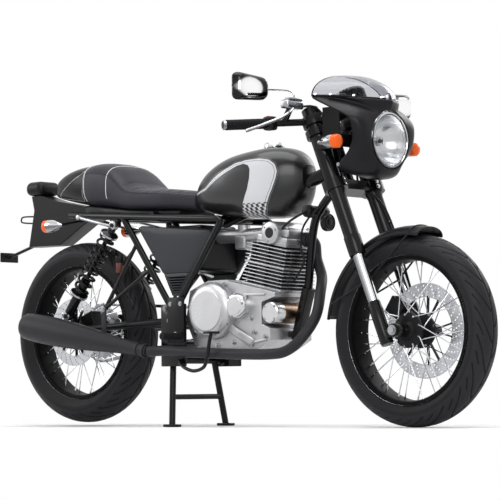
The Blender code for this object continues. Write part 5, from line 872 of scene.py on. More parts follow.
lathe(cap, [(0, 0.0175), (0.012, 0.0178), (0.020, 0.0150), (0.0255, 0.0150), (0.0275, 0.0165),
            (0.0315, 0.0135), (0.0338, 0.0100), (0.0338, 0.0), (0, 0.0)],
      at(0.862, 0, 0.8903), Vector((0, 0, 1)), 72)
piece("filler_cap", cap, "chassis", [chrome], "tank_cap")

# Seat and cowl: ribbed black leather over foam, its hump piped in white, and a satin black
# tail cowl with a fine white line looped round each side
SEAT_ROWS = (
    (0.00, 0.96, 0.22, 0.985), (0.08, 1.00, 0.19, 1.00), (0.18, 1.00, 0.16, 0.975),
    (0.28, 1.00, 0.12, 0.88), (0.36, 1.00, 0.09, 0.71), (0.43, 1.00, 0.07, 0.55),
    (0.52, 0.98, 0.06, 0.49), (0.70, 0.90, 0.04, 0.45), (0.88, 0.72, 0.02, 0.40),
    (1.00, 0.52, 0.00, 0.36),
)
COWL_ROWS = (
    (0.00, 0.30, 0.47, 0.56), (0.05, 0.45, 0.44, 0.65), (0.20, 0.66, 0.40, 0.79),
    (0.45, 0.82, 0.34, 0.90), (0.72, 0.92, 0.28, 0.96), (1.00, 0.96, 0.22, 0.985),
)
SQUARENESS = 0.66
SEAT_REAR = 0.100
SEAT_LENGTH = 0.470
SEAT_HALF = 0.122
SEAT_LOW = 0.700
SEAT_TALL = 0.190
COWL_REAR = -0.105
COWL_LENGTH = 0.2047
RIBS_REAR = 0.285
RIB_PITCH = 0.038


def seat_ring(row, rear=SEAT_REAR, length=SEAT_LENGTH):
    """The ring of points round the seat or the cowl at one row of its shares."""
    along, wide, low, high = row
    return oval(rear + length * along, SEAT_HALF * wide, SEAT_LOW + SEAT_TALL * low,
                SEAT_LOW + SEAT_TALL * high, 96, SQUARENESS)


leather = finish("seat_leather", srgb(52, 51, 57), 0.36, 0.0, 900, 0.08, 0.35, 0.10, 16)
piping_white = finish("piping_white", srgb(214, 214, 212), 0.5, 0.0, 600, 0.05, 0.1, 0.05, 40)
pad = bmesh.new()
skin(pad, [seat_ring(row) for row in between(SEAT_ROWS, 16)])
pad.normal_update()
for vert in pad.verts:
    along = vert.co.x - REAR_X
    flatness = max(0.0, vert.normal.z) ** 0.5
    if RIBS_REAR < along < 0.55:
        groove = abs(((along - RIBS_REAR) / RIB_PITCH) % 1.0 - 0.5) * 2
        edge = max(0.0, 1 - (abs(vert.co.y) / 0.121) ** 8)
        vert.co.z -= 0.0052 * max(0.0, (groove - 0.62) / 0.38) ** 1.5 * flatness * edge
seat_piece = piece("ribbed_seat", pad, "chassis", [leather], "seat", angle=60)
cowl = bmesh.new()
skin(cowl, [seat_ring(row, COWL_REAR, COWL_LENGTH) for row in between(COWL_ROWS, 14)])
cowl_paint = finish("cowl_paint", srgb(16, 16, 18), 0.34, 0.0, 800, 0.05, 0.04, 0.05, 6, 0.2)
over(cowl_paint, "loop", 0.0, 0.0013, srgb(205, 205, 204))
LOOP_OUTLINE = [
    (-0.0612, 0.7818), (0.0033, 0.8133), (0.0474, 0.8355), (0.0880, 0.8534), (0.0997, 0.8671),
    (0.0997, 0.8168), (0.0898, 0.7590),
]
cowl_piece = piece("seat_cowl", cowl, "chassis", [cowl_paint], "tail_cowl", angle=60)
drawn(cowl_piece, "loop", LOOP_OUTLINE)
piping = bmesh.new()
for along in (0.010, 0.244):
    row = min(between(SEAT_ROWS, 16), key=lambda one: abs(one[0] - along))
    ring = seat_ring(row)
    hose(piping, [point for point in ring if point.z > 0.760], 0.0015, 1, 3)
piece("hump_piping", piping, "chassis", [piping_white])
thread = finish("stitch_thread", srgb(120, 120, 124), 0.6, 0.0, 700, 0.05, 0.1, 0.1, 40)
stitches = bmesh.new()
for k in range(7):
    x = RIBS_REAR + RIB_PITCH * (k + 0.5)
    row = min(between(SEAT_ROWS, 16), key=lambda one: abs(SEAT_REAR + SEAT_LENGTH * one[0] - x))
    ring = seat_ring(row)
    crest = max(point.z for point in ring)
    hose(stitches, [point - Vector((0, point.y * 0.020, 0.0032)) for point in ring
                    if point.z > crest - 0.036], 0.0012, 1, 3)
piece("rib_stitches", stitches, "chassis", [thread])
pan = bmesh.new()
skin(pan, [oval(x, half, low, high, 32, 0.35) for x, half, low, high in (
    (0.050, 0.060, 0.712, 0.752), (0.100, 0.088, 0.706, 0.750), (0.200, 0.102, 0.700, 0.736),
    (0.300, 0.105, 0.694, 0.722), (0.400, 0.100, 0.690, 0.714), (0.520, 0.085, 0.686, 0.708))])
piece("seat_pan", pan, "chassis", [satin])
seam = bmesh.new()
for hand in (-1, 1):
    edge_line = []
    for along, wide, low, high in between(SEAT_ROWS, 4):
        middle = SEAT_LOW + SEAT_TALL * (low + high) / 2
        tall = SEAT_TALL * (high - low) / 2
        turn = math.radians(22)
        edge_line.append(at(0.101 + 0.467 * along,
                            hand * (SEAT_HALF * wide * math.cos(turn) ** SQUARENESS + 0.0001),
                            middle + tall * math.sin(turn) ** SQUARENESS))
    hose(seam, edge_line, 0.0013, 1, 3)
piece("seat_seams", seam, "chassis", [leather])

# Frame and swinging arm: steel tubes welded together in a gloss black coat, with lower plates
# that hold the arm's pivot and the pegs, and plated bolts
gloss = finish("frame_gloss", srgb(12, 12, 14), 0.20, 0.0, 300, 0.05, 0.05, 0.1, 12, 0.4)
HEAD_FRONT = Vector((math.cos(RAKE), 0, math.sin(RAKE)))


def head_point(forward, side, up):
    """A point given from the steering axis at the lower clamp."""
    return at(1.175, side, 0.7116) + HEAD_FRONT * forward + HEAD_AXIS * up


back_top = head_point(-0.029, 0, 0.1095)
tubes = bmesh.new()
lathe(tubes, [(0.029, 0.192), (0.029, 0.042), (0.015, 0.042), (0.015, 0.192)],
      head_point(0, 0, 0), HEAD_AXIS, 48, True)
for rise in (0.0445, 0.1825):
    lathe(tubes, [(0.0310, 0.007), (0.0310, 0.0), (0.0288, 0.0), (0.0288, 0.007)],
          head_point(0, 0, rise), HEAD_AXIS, 48, True)
bar(tubes, back_top, at(0.640, 0, 0.665), 0.0218, 32, edge=0.002)
hose(tubes, [head_point(-0.0232, 0, 0.060), at(1.060, 0, 0.690), at(1.023, 0, 0.620),
             at(0.998, 0, 0.425)], 0.0135, 8, 6)
bar_low = at(0.955, 0, 0.285)
bar_high = at(0.998, 0, 0.425)
bar_lean = math.atan2((bar_high - bar_low).x, (bar_high - bar_low).z)
slab(tubes, (0.026, 0.040, 0.172), (bar_low + bar_high) / 2, bar_lean, 0.004, 3)
slab(tubes, (0.0295, 0.028, 0.020), at(0.9402, 0, 0.2928), 0, 0.002)
for hand in (-1, 1):
    rail_y = hand * 0.122
    hose(tubes, [at(0.020, rail_y * 0.8, 0.716), at(0.273, rail_y, 0.697),
                 at(0.714, rail_y, 0.6660), at(0.728, rail_y, 0.6650), at(0.737, rail_y, 0.6600),
                 at(0.732, rail_y, 0.6490), at(0.530, rail_y, 0.372)], 0.0118, 1, 6)
    bar(tubes, at(0.294, rail_y, 0.697), at(0.518, rail_y, 0.384), 0.0107, 24)
    tip = at(0.250, hand * 0.158, 0.395)
    bar(tubes, at(0.358, rail_y, 0.600), tip, 0.0065, 20)
    bar(tubes, at(0.420, rail_y, 0.515), tip + Vector((0.003, 0, 0)), 0.0062, 20)
    lathe(tubes, [(0, -0.005), (0.0085, -0.005), (0.0085, 0.005), (0, 0.005)], tip, SIDEWAYS, 24)
    bar(tubes, at(0.273, rail_y, 0.667), at(0.273, hand * 0.156, 0.667), 0.0070, 20)
    slab(tubes, (0.021, 0.010, 0.041), at(0.273, rail_y, 0.682), 0, 0.002)
    slab(tubes, (0.110, 0.008, 0.202), at(0.535, hand * 0.131, 0.297), 0, 0.003, 2)
    for x, z in ((0.520, 0.345), (0.566, 0.386), (0.500, 0.385)):
        bolt(tubes, at(x, hand * 0.1350, z), SIDEWAYS * hand, 0.0078, 1, 0.006)
for x, z, spread in ((0.505, 0.270, 0.131), (0.294, 0.697, 0.122), (0.662, 0.6727, 0.122),
                     (0.429, 0.6973, 0.122)):
    bar(tubes, at(x, -spread, z), at(x, spread, z), 0.0098, 20)
piece("frame_tubes", tubes, "chassis", [gloss, chrome], "frame")

arm = bmesh.new()
bar(arm, at(0.520, -0.1267, 0.345), at(0.520, 0.1267, 0.345), 0.0187, 32)
bar(arm, at(0.420, -0.106, 0.3325), at(0.420, 0.106, 0.3325), 0.0124, 24)
bar(arm, at(0, -0.131, 0.320), at(0, 0.131, 0.320), 0.0080, 20, slot=1)
for hand in (-1, 1):
    bar(arm, at(0.520, hand * 0.106, 0.345), at(-0.020, hand * 0.106, 0.3209), 0.0124, 28,
        edge=0.002)
    slab(arm, (0.0625, 0.020, 0.0325), at(0, hand * 0.106, 0.320), 0, 0.004, 3)
    slab(arm, (0.025, 0.0125, 0.073), at(0.050, hand * 0.11225, 0.346), 0, 0.003)
    bar(arm, at(0.050, hand * 0.106, 0.372), at(0.050, hand * 0.156, 0.372), 0.0070, 20)
    bolt(arm, at(0, hand * 0.116, 0.320), SIDEWAYS * hand, 0.0125, 1, 0.012)
    bar(arm, at(-0.031, hand * 0.106, 0.3195), at(-0.046, hand * 0.106, 0.3190), 0.0035, 12,
        slot=1)
piece("swinging_arm", arm, "chassis", [satin, chrome], "swingarm")

# Shock absorbers: steel springs coated black over black damper bodies, each with plated collars
# and eyes that sit on pins at the frame and the swinging arm
for node, hand in (("shock_right", -1), ("shock_left", 1)):
    low = at(0.050, hand * 0.142, 0.372)
    high = at(0.273, hand * 0.142, 0.667)
    up = (high - low).normalized()
    reach = (high - low).length
    damper = bmesh.new()
    lathe(damper, [(0, 0.012), (0.0150, 0.012), (0.0165, 0.018), (0.0165, 0.082), (0.0290, 0.084),
                   (0.0308, 0.087), (0.0308, 0.0955), (0.0165, 0.0960), (0.0165, 0.150),
                   (0.0075, 0.151), (0.0075, reach * 0.885), (0.0300, reach * 0.887),
                   (0.0308, reach * 0.892), (0.0308, reach * 0.912), (0.0270, reach * 0.920),
                   (0.0140, reach * 0.935), (0.0130, reach - 0.012), (0, reach - 0.012)],
          low, up, 48)
    lathe(damper, [(0.0309, 0.0882), (0.0309, 0.0945), (0.0290, 0.0950), (0.0290, 0.0878)], low,
          up, 48, True, 1)
    lathe(damper, [(0.0309, reach * 0.894), (0.0309, reach * 0.910), (0.0290, reach * 0.911),
                   (0.0290, reach * 0.893)], low, up, 48, True, 1)
    for spot in (low, high):
        lathe(damper, [(0.0149, 0.0085), (0.0149, -0.0085), (0.0081, -0.0089), (0.0081, 0.0089)],
              spot, SIDEWAYS, 32, True, 1)
        bolt(damper, spot + SIDEWAYS * hand * 0.0092, SIDEWAYS * hand, 0.0066, 1, 0.0045)
    across = up.cross(SIDEWAYS).normalized()
    coil = []
    turns = 9
    for i in range(turns * 20 + 1):
        turn = math.tau * i / 20
        share = i / (turns * 20)
        tight = share + 0.012 * math.sin(math.tau * share)
        centre = low + up * (0.0965 + (reach * 0.880 - 0.0965) * tight)
        coil.append(centre + (across * math.cos(turn) + SIDEWAYS * math.sin(turn)) * 0.0254)
    hose(damper, coil, 0.0042, 1, 4)
    piece(node + "_coiled", damper, "chassis", [gloss, machined], node)

# Fork: black outer tubes held in cast black clamps, with hard-chromed tubes sliding below
# them and black cast feet that carry the axle
FORK_AHEAD = 0.025
FORK_HALF = 0.0907


def leg_point(hand, up, ahead=0.0):
    """A point from the middle line of a fork leg, its height given from the lower clamp."""
    return head_point(FORK_AHEAD + ahead, hand * FORK_HALF, up)


fork_paint = finish("fork_paint", srgb(13, 13, 15), 0.24, 0.0, 500, 0.05, 0.03, 0.06, 10, 0.4)
for name, hand in (("right", -1), ("left", 1)):
    foot = leg_point(hand, 0)
    upper = bmesh.new()
    lathe(upper, [(0, 0.290), (0.0180, 0.290), (0.0200, 0.2885), (0.0255, 0.2885), (0.0275, 0.2865),
                  (0.0275, 0.002), (0.0240, -0.008), (0.0240, -0.1465), (0.0258, -0.1475),
                  (0.0262, -0.150), (0.0262, -0.206), (0.0250, -0.2105), (0, -0.2108)], foot,
          HEAD_AXIS, 64)
    lathe(upper, [(0, 0.2902), (0.0120, 0.2902), (0.0120, 0.2870), (0, 0.2870)], foot, HEAD_AXIS,
          6, False, 1)
    piece("fork_outer_" + name, upper, "steering", [fork_paint, machined], "fork_upper_" + name)
    lower = bmesh.new()
    on_leg = leg_point(hand, -0.367)
    bar(lower, leg_point(hand, -0.2115), on_leg - HEAD_AXIS * 0.020, 0.0178, 48, slot=1)
    lathe(lower, [(0, -0.367), (0.0185, -0.367), (0.0205, -0.372), (0.0205, -0.500),
                  (0.0180, -0.508), (0, -0.508)], foot, HEAD_AXIS, 48)
    axle = Vector((FRONT_AXLE.x, hand * FORK_HALF, FRONT_AXLE.z))
    near = axle - HEAD_FRONT * (axle - foot).dot(HEAD_FRONT)
    bar(lower, axle - SIDEWAYS * 0.0203, axle + SIDEWAYS * 0.0203, 0.0200, 40, edge=0.002)
    slab(lower, ((axle - near).length, 0.0265, 0.028), (axle + near) / 2, -RAKE, 0.004, 3)
    bolt(lower, axle + SIDEWAYS * hand * 0.0203, SIDEWAYS * hand, 0.0115, 2, 0.009)
    for rise in (-0.468, -0.484):
        bolt(lower, leg_point(hand, rise, 0.018), HEAD_FRONT, 0.0042, 2)
    if hand < 0:
        bar(lower, axle, Vector((FRONT_AXLE.x, 0.0695, FRONT_AXLE.z)), 0.0080, 20, slot=2)
    piece("fork_inner_" + name, lower, "steering", [fork_paint, chrome, machined],
          "fork_lower_" + name)
refined("fork_clamps", "steering", [fork_paint], 0.0025)
pinches = bmesh.new()
for rise in (0.0075, 0.0240):
    for hand in (-1, 1):
        bolt(pinches, head_point(0.0605, hand * 0.0760, rise + 0.0085), HEAD_FRONT, 0.0052, 0)
bolt(pinches, head_point(0, 0, 0.2146), HEAD_AXIS, 0.0150, 0, 0.008)
piece("clamp_bolts", pinches, "steering", [bolt_chrome])

# Handlebars: black steel clip-ons clamped round the fork tubes, with ribbed rubber grips,
# switch boxes, plated levers and the cast bodies that hold them
button_red = finish("button_red", srgb(170, 14, 14), 0.4)
grip_rubber = finish("grip_rubber", srgb(24, 24, 26), 0.68, 0.0, 700, 0.08, 0.25, 0.1, 40)
for node, hand in (("handlebar_right", -1), ("handlebar_left", 1)):
    on_leg = leg_point(hand, 0.245)
    end = at(0.969, hand * 0.360, 0.928)
    along = (end - on_leg).normalized()
    start = on_leg + along * 0.033
    bars = bmesh.new()
    lathe(bars, [(0.0365, 0.015), (0.0370, 0.013), (0.0370, -0.013), (0.0365, -0.015),
                 (0.0281, -0.015), (0.0281, 0.015)], on_leg, HEAD_AXIS, 48, True)
    bolt(bars, on_leg + HEAD_FRONT * 0.036, HEAD_FRONT, 0.0050, 2)
    bar(bars, start, end, 0.0110, 24)
    reach = (end - start).length
    ribs = [(0, reach * 0.50)]
    for k in range(26):
        spot = reach * (0.50 + 0.46 * k / 26)
        ribs += [(0.0163, spot + 0.0006), (0.0163, spot + 0.0028), (0.0153, spot + 0.0034),
                 (0.0153, spot + 0.0046)]
    ribs += [(0.0164, reach * 0.950), (0.0164, reach * 0.960), (0.0110, reach * 0.962)]
    lathe(bars, ribs + [(0, reach * 0.962)], start, along, 32, False, 1)
    lathe(bars, [(0, reach * 0.960), (0.0125, reach * 0.962), (0.0150, reach * 0.970),
                 (0.0150, reach * 0.992), (0.0130, reach * 0.999), (0, reach)], start, along, 32,
          False, 3)
    switch = end.lerp(start, 0.58)
    slab(bars, (0.041, 0.033, 0.043), switch, 0, 0.009, 4)
    slab(bars, (0.012, 0.014, 0.005), switch + Vector((-0.006, 0, 0.0210)), 0, 0.002, 2, 4)
    perch = at(1.088, hand * 0.172, 1.000)
    bar(bars, start.lerp(end, 0.25), perch, 0.0105, 20)
    slab(bars, (0.033, 0.079, 0.026), perch - Vector((0, 0, 0.004)), 0, 0.007, 4, 2)
    slab(bars, (0.034, 0.062, 0.009), perch + Vector((0, 0, 0.0124)), 0, 0.002, 2, 2)
    for side in (-0.024, 0.024):
        bar(bars, perch + Vector((0.008, side, 0.014)), perch + Vector((0.008, side, 0.0168)),
            0.0028, 12, slot=2)
    route = [perch + Vector((0.011, hand * 0.011, -0.0165))]
    route += [at(1.112, hand * 0.235, 0.955), at(1.082, hand * 0.300, 0.925),
              at(1.052, hand * 0.345, 0.905)]
    hose(bars, route, 0.0052, 8, 4, 3)
    bar(bars, route[-1] - (route[-1] - route[-2]).normalized() * 0.006, route[-1], 0.0054, 16,
        slot=3, edge=0.0014)
    piece(node + "_grip", bars, "steering",
          [satin, grip_rubber, machined, chrome, button_red], node)

# Mirrors: pressed shells, plated, on bent plated stems screwed to the lever bodies. The
# plating's colour carries a painted reflection, a bright middle ringed dark with a lighter rim, and
# a silvered glass faces the rider
shell_chrome = finish("mirror_shell", srgb(236, 237, 240), 0.08, 1.0, 100, 0.03, 0.01, 0.03, 20)
shell_tree = shell_chrome.node_tree
# Painted reflection: the shell's colour is read through grey tones from each point's distance off
# the middle, bright in the middle, dark in a ring and lighter at the rim.
shell_read = wired(shell_tree, "Attribute", attribute_name="off_middle")
shell_painted_reflection = wired(shell_tree, "ValToRGB", {"Fac": shell_read.outputs["Fac"]})
toned(shell_painted_reflection, ((0.30, 0.95), (0.50, 0.85), (0.60, 0.03), (0.80, 0.02), (0.92, 0.03),
                    (1.00, 0.45)))
shell_tree.links.new(shell_painted_reflection.outputs["Color"],
                     shell_tree.nodes["Principled BSDF"].inputs["Base Color"])
glass_silver = finish("mirror_silver", srgb(244, 245, 248), 0.03, 1.0, 50, 0.01, 0.0, 0.01, 5)
for node, hand in (("mirror_right", -1), ("mirror_left", 1)):
    foot = at(1.088, hand * 0.172, 1.0175)
    middle = at(1.080, hand * 0.352, 1.036)
    glass = bmesh.new()
    part = bmesh.new()
    bmesh.ops.create_cube(part, size=1)
    for vert in part.verts:
        outer = vert.co.y * hand > 0
        vert.co.z *= 1.0 if outer else 0.80
        if vert.co.x > 0:
            vert.co.y *= 0.84
            vert.co.z *= 0.80
    bmesh.ops.transform(part, matrix=Matrix.Diagonal((0.041, 0.155, 0.095, 1)), verts=part.verts)
    bmesh.ops.bevel(part, geom=part.edges, offset=0.0195, segments=7, profile=0.5,
                    affect="EDGES", material=-1)
    bmesh.ops.subdivide_edges(part, edges=part.edges, cuts=3, use_grid_fill=True)
    add(glass, part, Matrix.Translation(middle), 0)
    slab(glass, (0.0016, 0.118, 0.060), middle - Vector((0.0198, 0, 0)), 0, 0.0005, 1, 1)
    slab(glass, (0.006, 0.150, 0.004), middle - Vector((0.010, 0, 0.0)), 0, 0.001, 1, 2)
    hose(glass, [foot, foot + Vector((0, hand * 0.002, 0.014)),
                 foot + Vector((-0.002, hand * 0.030, 0.022)),
                 middle - Vector((0, hand * 0.05, 0))],
         0.0050, 8, 4)
    bar(glass, foot, foot + Vector((0, 0, 0.010)), 0.0090, 6)
    shell = piece(node + "_glass", glass, "steering", [shell_chrome, glass_silver, satin], node)
    measured(shell, "off_middle",
             lambda place: math.hypot((place.y - middle.y - hand * 0.020) / 0.090,
                                      (place.z - middle.z + 0.003) / 0.0560))

# Headlight: a black bucket bolted in the fairing, with a plated rim, a reflector and bulb
# behind a lens of fluted glass
def see_through(name, sockets, texture, output, scale, bump, **settings):
    """A glass or plastic whose flutes, cells or haze are raised by a texture."""
    made = bpy.data.materials.new(name)
    made.use_nodes = True
    tree = made.node_tree
    shader = tree.nodes["Principled BSDF"]
    for socket, value in sockets.items():
        shader.inputs[socket].default_value = value
    place = wired(tree, "TexCoord")
    pattern = wired(tree, texture, {"Vector": place.outputs["Object"], "Scale": scale},
                    **settings)
    raised = wired(tree, "Bump", {"Height": pattern.outputs[output], **bump})
    tree.links.new(raised.outputs["Normal"], shader.inputs["Normal"])
    return made


clear = see_through("clear_glass", {"Roughness": 0.02, "Transmission Weight": 1.0, "IOR": 1.30},
                    "TexWave", "Fac", 42, {"Strength": 0.22, "Distance": 0.001},
                    bands_direction="Y")
reflector = finish("reflector", srgb(225, 227, 230), 0.16, 1.0, 90, 0.05, 0.5, 0.06, 30,
                   depth=0.002)
LAMP = at(1.336, 0, 0.880)
AHEAD = Vector((1, 0, 0))
lamp = bmesh.new()
lathe(lamp, [(0.0838, -0.001), (0.0858, -0.004), (0.0858, -0.016), (0.0790, -0.043),
             (0.0565, -0.090), (0.0345, -0.0998), (0, -0.0998), (0, -0.090), (0.0330, -0.090),
             (0.0530, -0.080), (0.0740, -0.040), (0.0815, -0.012), (0.0815, -0.001)], LAMP, AHEAD,
      96)
lathe(lamp, [(0.0820, 0.0), (0.0858, -0.0005), (0.0860, -0.004), (0.0845, 0.0025),
             (0.0815, 0.0030), (0.0800, 0.0010)], LAMP, AHEAD, 96, True, 1)
lathe(lamp, [(0.0805, -0.004), (0.0700, -0.030), (0.0520, -0.056), (0.0300, -0.072),
             (0.0120, -0.076), (0.0120, -0.078), (0.0300, -0.074), (0.0525, -0.058),
             (0.0712, -0.031), (0.0812, -0.006)], LAMP, AHEAD, 96, True, 2)
bar(lamp, LAMP - AHEAD * 0.078, LAMP - AHEAD * 0.034, 0.0085, 24, 0.0070, 3, 0.002)
lathe(lamp, [(0.0155, -0.050), (0.0155, -0.046), (0.0120, -0.040), (0.0115, -0.040),
             (0.0145, -0.046), (0.0145, -0.050)], LAMP, AHEAD, 32, True, 1)
piece("lamp_bucket", lamp, "steering", [satin, chrome, reflector, recess_shade_paint], "headlight")
pane = bmesh.new()
lathe(pane, [(0, 0.0198), (0.022, 0.0186), (0.043, 0.0158), (0.062, 0.0098), (0.0757, 0.0030),
             (0.0798, 0.0), (0.0785, -0.0015), (0.0745, 0.0008), (0.061, 0.0075),
             (0.0425, 0.0134), (0.022, 0.0162), (0, 0.0172)], LAMP, AHEAD, 96)
piece("lamp_lens", pane, "steering", [clear])

# Fairing and screen: a moulded plastic cowl in satin black round the lamp, and a bubble screen
# of clear plastic screwed to its upper edge
FAIRING_LENGTH = 0.170
FAIRING_HALF = 0.175
FAIRING_TALL = 0.140
FAIRING_RING = 0.0907
FAIRING_EDGE = (
    (0.00, 0.38, 0.00, -0.84), (0.08, 0.42, 0.36, -0.79), (0.14, 0.72, 0.60, -0.60),
    (0.20, 0.36, 0.73, -0.26), (0.255, 0.21, 0.79, 0.02), (0.31, 0.21, 0.86, 0.39),
    (0.355, 0.36, 0.91, 0.55), (0.395, 0.60, 0.96, 0.70), (0.42, 0.97, 1.00, 0.96),
    (0.445, 0.50, 0.75, 0.93), (0.475, 0.18, 0.40, 0.89), (0.50, 0.00, 0.00, 0.88),
)


def sheet_piece(name, rows, closed, wall, body, material, node):
    """A thin moulded wall over rows of points."""
    part = bmesh.new()
    lines = []
    for row in rows:
        points = [part.verts.new(point) for point in row]
        ahead = points[1:] + (points[:1] if closed else [])
        lines.append([part.edges.new(pair) for pair in zip(points, ahead)])
    for near, far in zip(lines, lines[1:]):
        bmesh.ops.bridge_loops(part, edges=near + far)
    shape = bmesh.new()
    add(shape, part)
    made = piece(name, shape, body, [material], node, angle=60)
    wall_made = made.modifiers.new("Wall", "SOLIDIFY")
    wall_made.thickness = wall
    wall_made.offset = 0
    return made


smooth_edge = between(FAIRING_EDGE, 5)
full_edge = smooth_edge + [(1 - turn, back, -side, up)
                           for turn, back, side, up in reversed(smooth_edge[1:-1])]
cowl_rows = []
for k in range(17):
    share = k / 16
    row = []
    for turn, back, side, up in full_edge:
        angle = math.tau * turn
        rim = LAMP - Vector((0, math.sin(angle), math.cos(angle))) * FAIRING_RING
        point = LAMP + Vector((-FAIRING_LENGTH * back, -FAIRING_HALF * side, FAIRING_TALL * up))
        outward = Vector((1, -math.sin(angle), -math.cos(angle)))
        row.append(rim.lerp(point, share) + outward * 0.010 * math.sin(math.pi * share))
    cowl_rows.append(row)
fairing_paint = finish("fairing_paint", srgb(22, 22, 25), 0.36, 0.0, 800, 0.05, 0.04, 0.05, 6, 0.1)
sheet_piece("lamp_fairing", cowl_rows, True, 0.0028, "steering", fairing_paint, "fairing")
smoked = see_through("smoked_screen", {"Base Color": (*srgb(196, 197, 202), 1),
                                       "Roughness": 0.03, "Transmission Weight": 1.0,
                                       "IOR": 1.18}, "TexNoise", "Fac", 60, {"Strength": 0.03})
SCREEN = (
    (0.03, 0.067, 0.8817, 1.03), (0.18, 0.40, 0.89, 1.22), (0.50, 0.75, 0.93, 1.42),
    (0.74, 0.878, 0.9453, 1.49), (0.97, 1.00, 0.96, 1.52),
)
screen_rows = []
for back, wide, low, high in between(SCREEN, 6):
    base = LAMP.z + FAIRING_TALL * low + 0.0018
    crest = LAMP.z + FAIRING_TALL * high
    turns = [math.pi * i / 36 for i in range(37)]
    screen_rows.append([Vector((LAMP.x - FAIRING_LENGTH * back,
                                -FAIRING_HALF * wide * math.cos(turn),
                                base + (crest - base) * math.sin(turn))) for turn in turns])
sheet_piece("bubble_screen", screen_rows, False, 0.0026, "steering", smoked, "windscreen")
trim = bmesh.new()
for hand in (-1, 1):
    edge_line = [row[-1 if hand > 0 else 0] + Vector((0, 0, 0.0015)) for row in screen_rows]
    hose(trim, edge_line, 0.0030, 1, 3)
    for spot in (2, 9, 16, 22):
        point = edge_line[spot]
        bar(trim, point, point + Vector((0.002, -0.004 * -hand, 0.004)), 0.0042, 16, slot=1)
    bolt(trim, at(1.222, hand * 0.113, 0.806), SIDEWAYS * hand, 0.0045, 1)
hose(trim, [point - Vector((0, 0, 0.0012)) for point in screen_rows[-1]], 0.0020, 1, 3)
piece("screen_trim", trim, "steering", [satin, bolt_chrome])

# Turn signals: plated bullet bodies with moulded amber lenses, on black stems that are
# rubber-mounted to the lamp bracket and the rear fender
SIGNAL_HALF = 0.190
REAR_LENS_X = -0.0050
REAR_LENS_Z = 0.676
# The amber lenses have a faint painted glow of their own, an emission, though the signals are not
# lit.
amber = see_through("amber_lens", {"Base Color": (*srgb(232, 92, 6), 1), "Roughness": 0.10,
                                   "Specular IOR Level": 0.3,
                                   "Emission Color": (*srgb(245, 84, 8), 1),
                                   "Emission Strength": 0.04},
                    "TexVoronoi", "Distance", 260, {"Strength": 0.35, "Distance": 0.001})
for node, body, hand, lens_x, z, stem, turn in (
        ("front_signal_right", "steering", -1, 1.285, 0.868, (1.2146, 0.1228, 0.868), 1),
        ("front_signal_left", "steering", 1, 1.285, 0.868, (1.2146, 0.1228, 0.868), 1),
        ("rear_signal_right", "chassis", -1, REAR_LENS_X, REAR_LENS_Z, None, -1),
        ("rear_signal_left", "chassis", 1, REAR_LENS_X, REAR_LENS_Z, None, -1)):
    centre = at(lens_x, hand * SIGNAL_HALF, z)
    way = Vector((turn, 0, 0))
    bulb = bmesh.new()
    lathe(bulb, [(0, 0.0094), (0.0090, 0.0086), (0.0170, 0.0060), (0.0210, 0.0010),
                 (0.0213, -0.004), (0.0213, -0.017), (0, -0.017)], centre, way, 48, False, 1)
    lathe(bulb, [(0, -0.016), (0.0214, -0.016), (0.0214, -0.026), (0.0200, -0.038),
                 (0.0161, -0.052), (0.0115, -0.064), (0.0072, -0.074), (0.0030, -0.0792),
                 (0, -0.0797)], centre, way, 48)
    if stem:
        root = at(stem[0], hand * stem[1], stem[2])
        top = at(stem[0], hand * SIGNAL_HALF, z)
    else:
        root = at(lens_x + 0.040, hand * 0.0336, z + 0.0215 * 1.25)
        top = at(lens_x + 0.040, hand * SIGNAL_HALF, z)
    bar(bulb, top, root, 0.0044, 20, slot=2)
    bar(bulb, root.lerp(top, 0.05), root.lerp(top, 0.22), 0.0068, 20, 0.0052, 2)
    piece(node + "_bullet", bulb, body, [chrome, amber, satin], node)

# Front fender: a painted sheet arch with rolled edges, carried on black wire stays that are
# bolted to the fork legs
arch_rows = []
for k in range(61):
    angle = math.radians(78 + 94 * k / 60)
    row = []
    for i in range(25):
        turn = math.pi * (i / 24 - 0.5)
        radius = 0.3180 - 0.0280 * (1 - math.cos(turn))
        row.append(FRONT_AXLE + around(angle, radius, 0.0620 * math.sin(turn)))
    arch_rows.append(row)
sheet_piece("painted_arch", arch_rows, False, 0.0028, "steering", fairing_paint, "front_fender")
stays = bmesh.new()
for hand in (-1, 1):
    on_leg = head_point(0.025, hand * 0.0695, -0.289)
    for angle in (84, 163.4):
        on_arch = FRONT_AXLE + around(math.radians(angle), 0.2956, hand * 0.0614)
        bar(stays, on_leg, on_arch, 0.0030, 16)
    bolt(stays, head_point(0.025, hand * 0.0715, -0.289), SIDEWAYS * -hand, 0.0050, 1)
for edge in (0, 24):
    hose(stays, [row[edge] for row in arch_rows[::2]], 0.0022, 1, 3)
hose(stays, arch_rows[0], 0.0022, 1, 3)
hose(stays, arch_rows[-1], 0.0022, 1, 3)
hose(stays, [FRONT_AXLE + (point - FRONT_AXLE) * 1.006 for point in arch_rows[4][1:-1]], 0.0028, 1,
     3)
piece("arch_stays", stays, "steering", [satin, bolt_chrome])

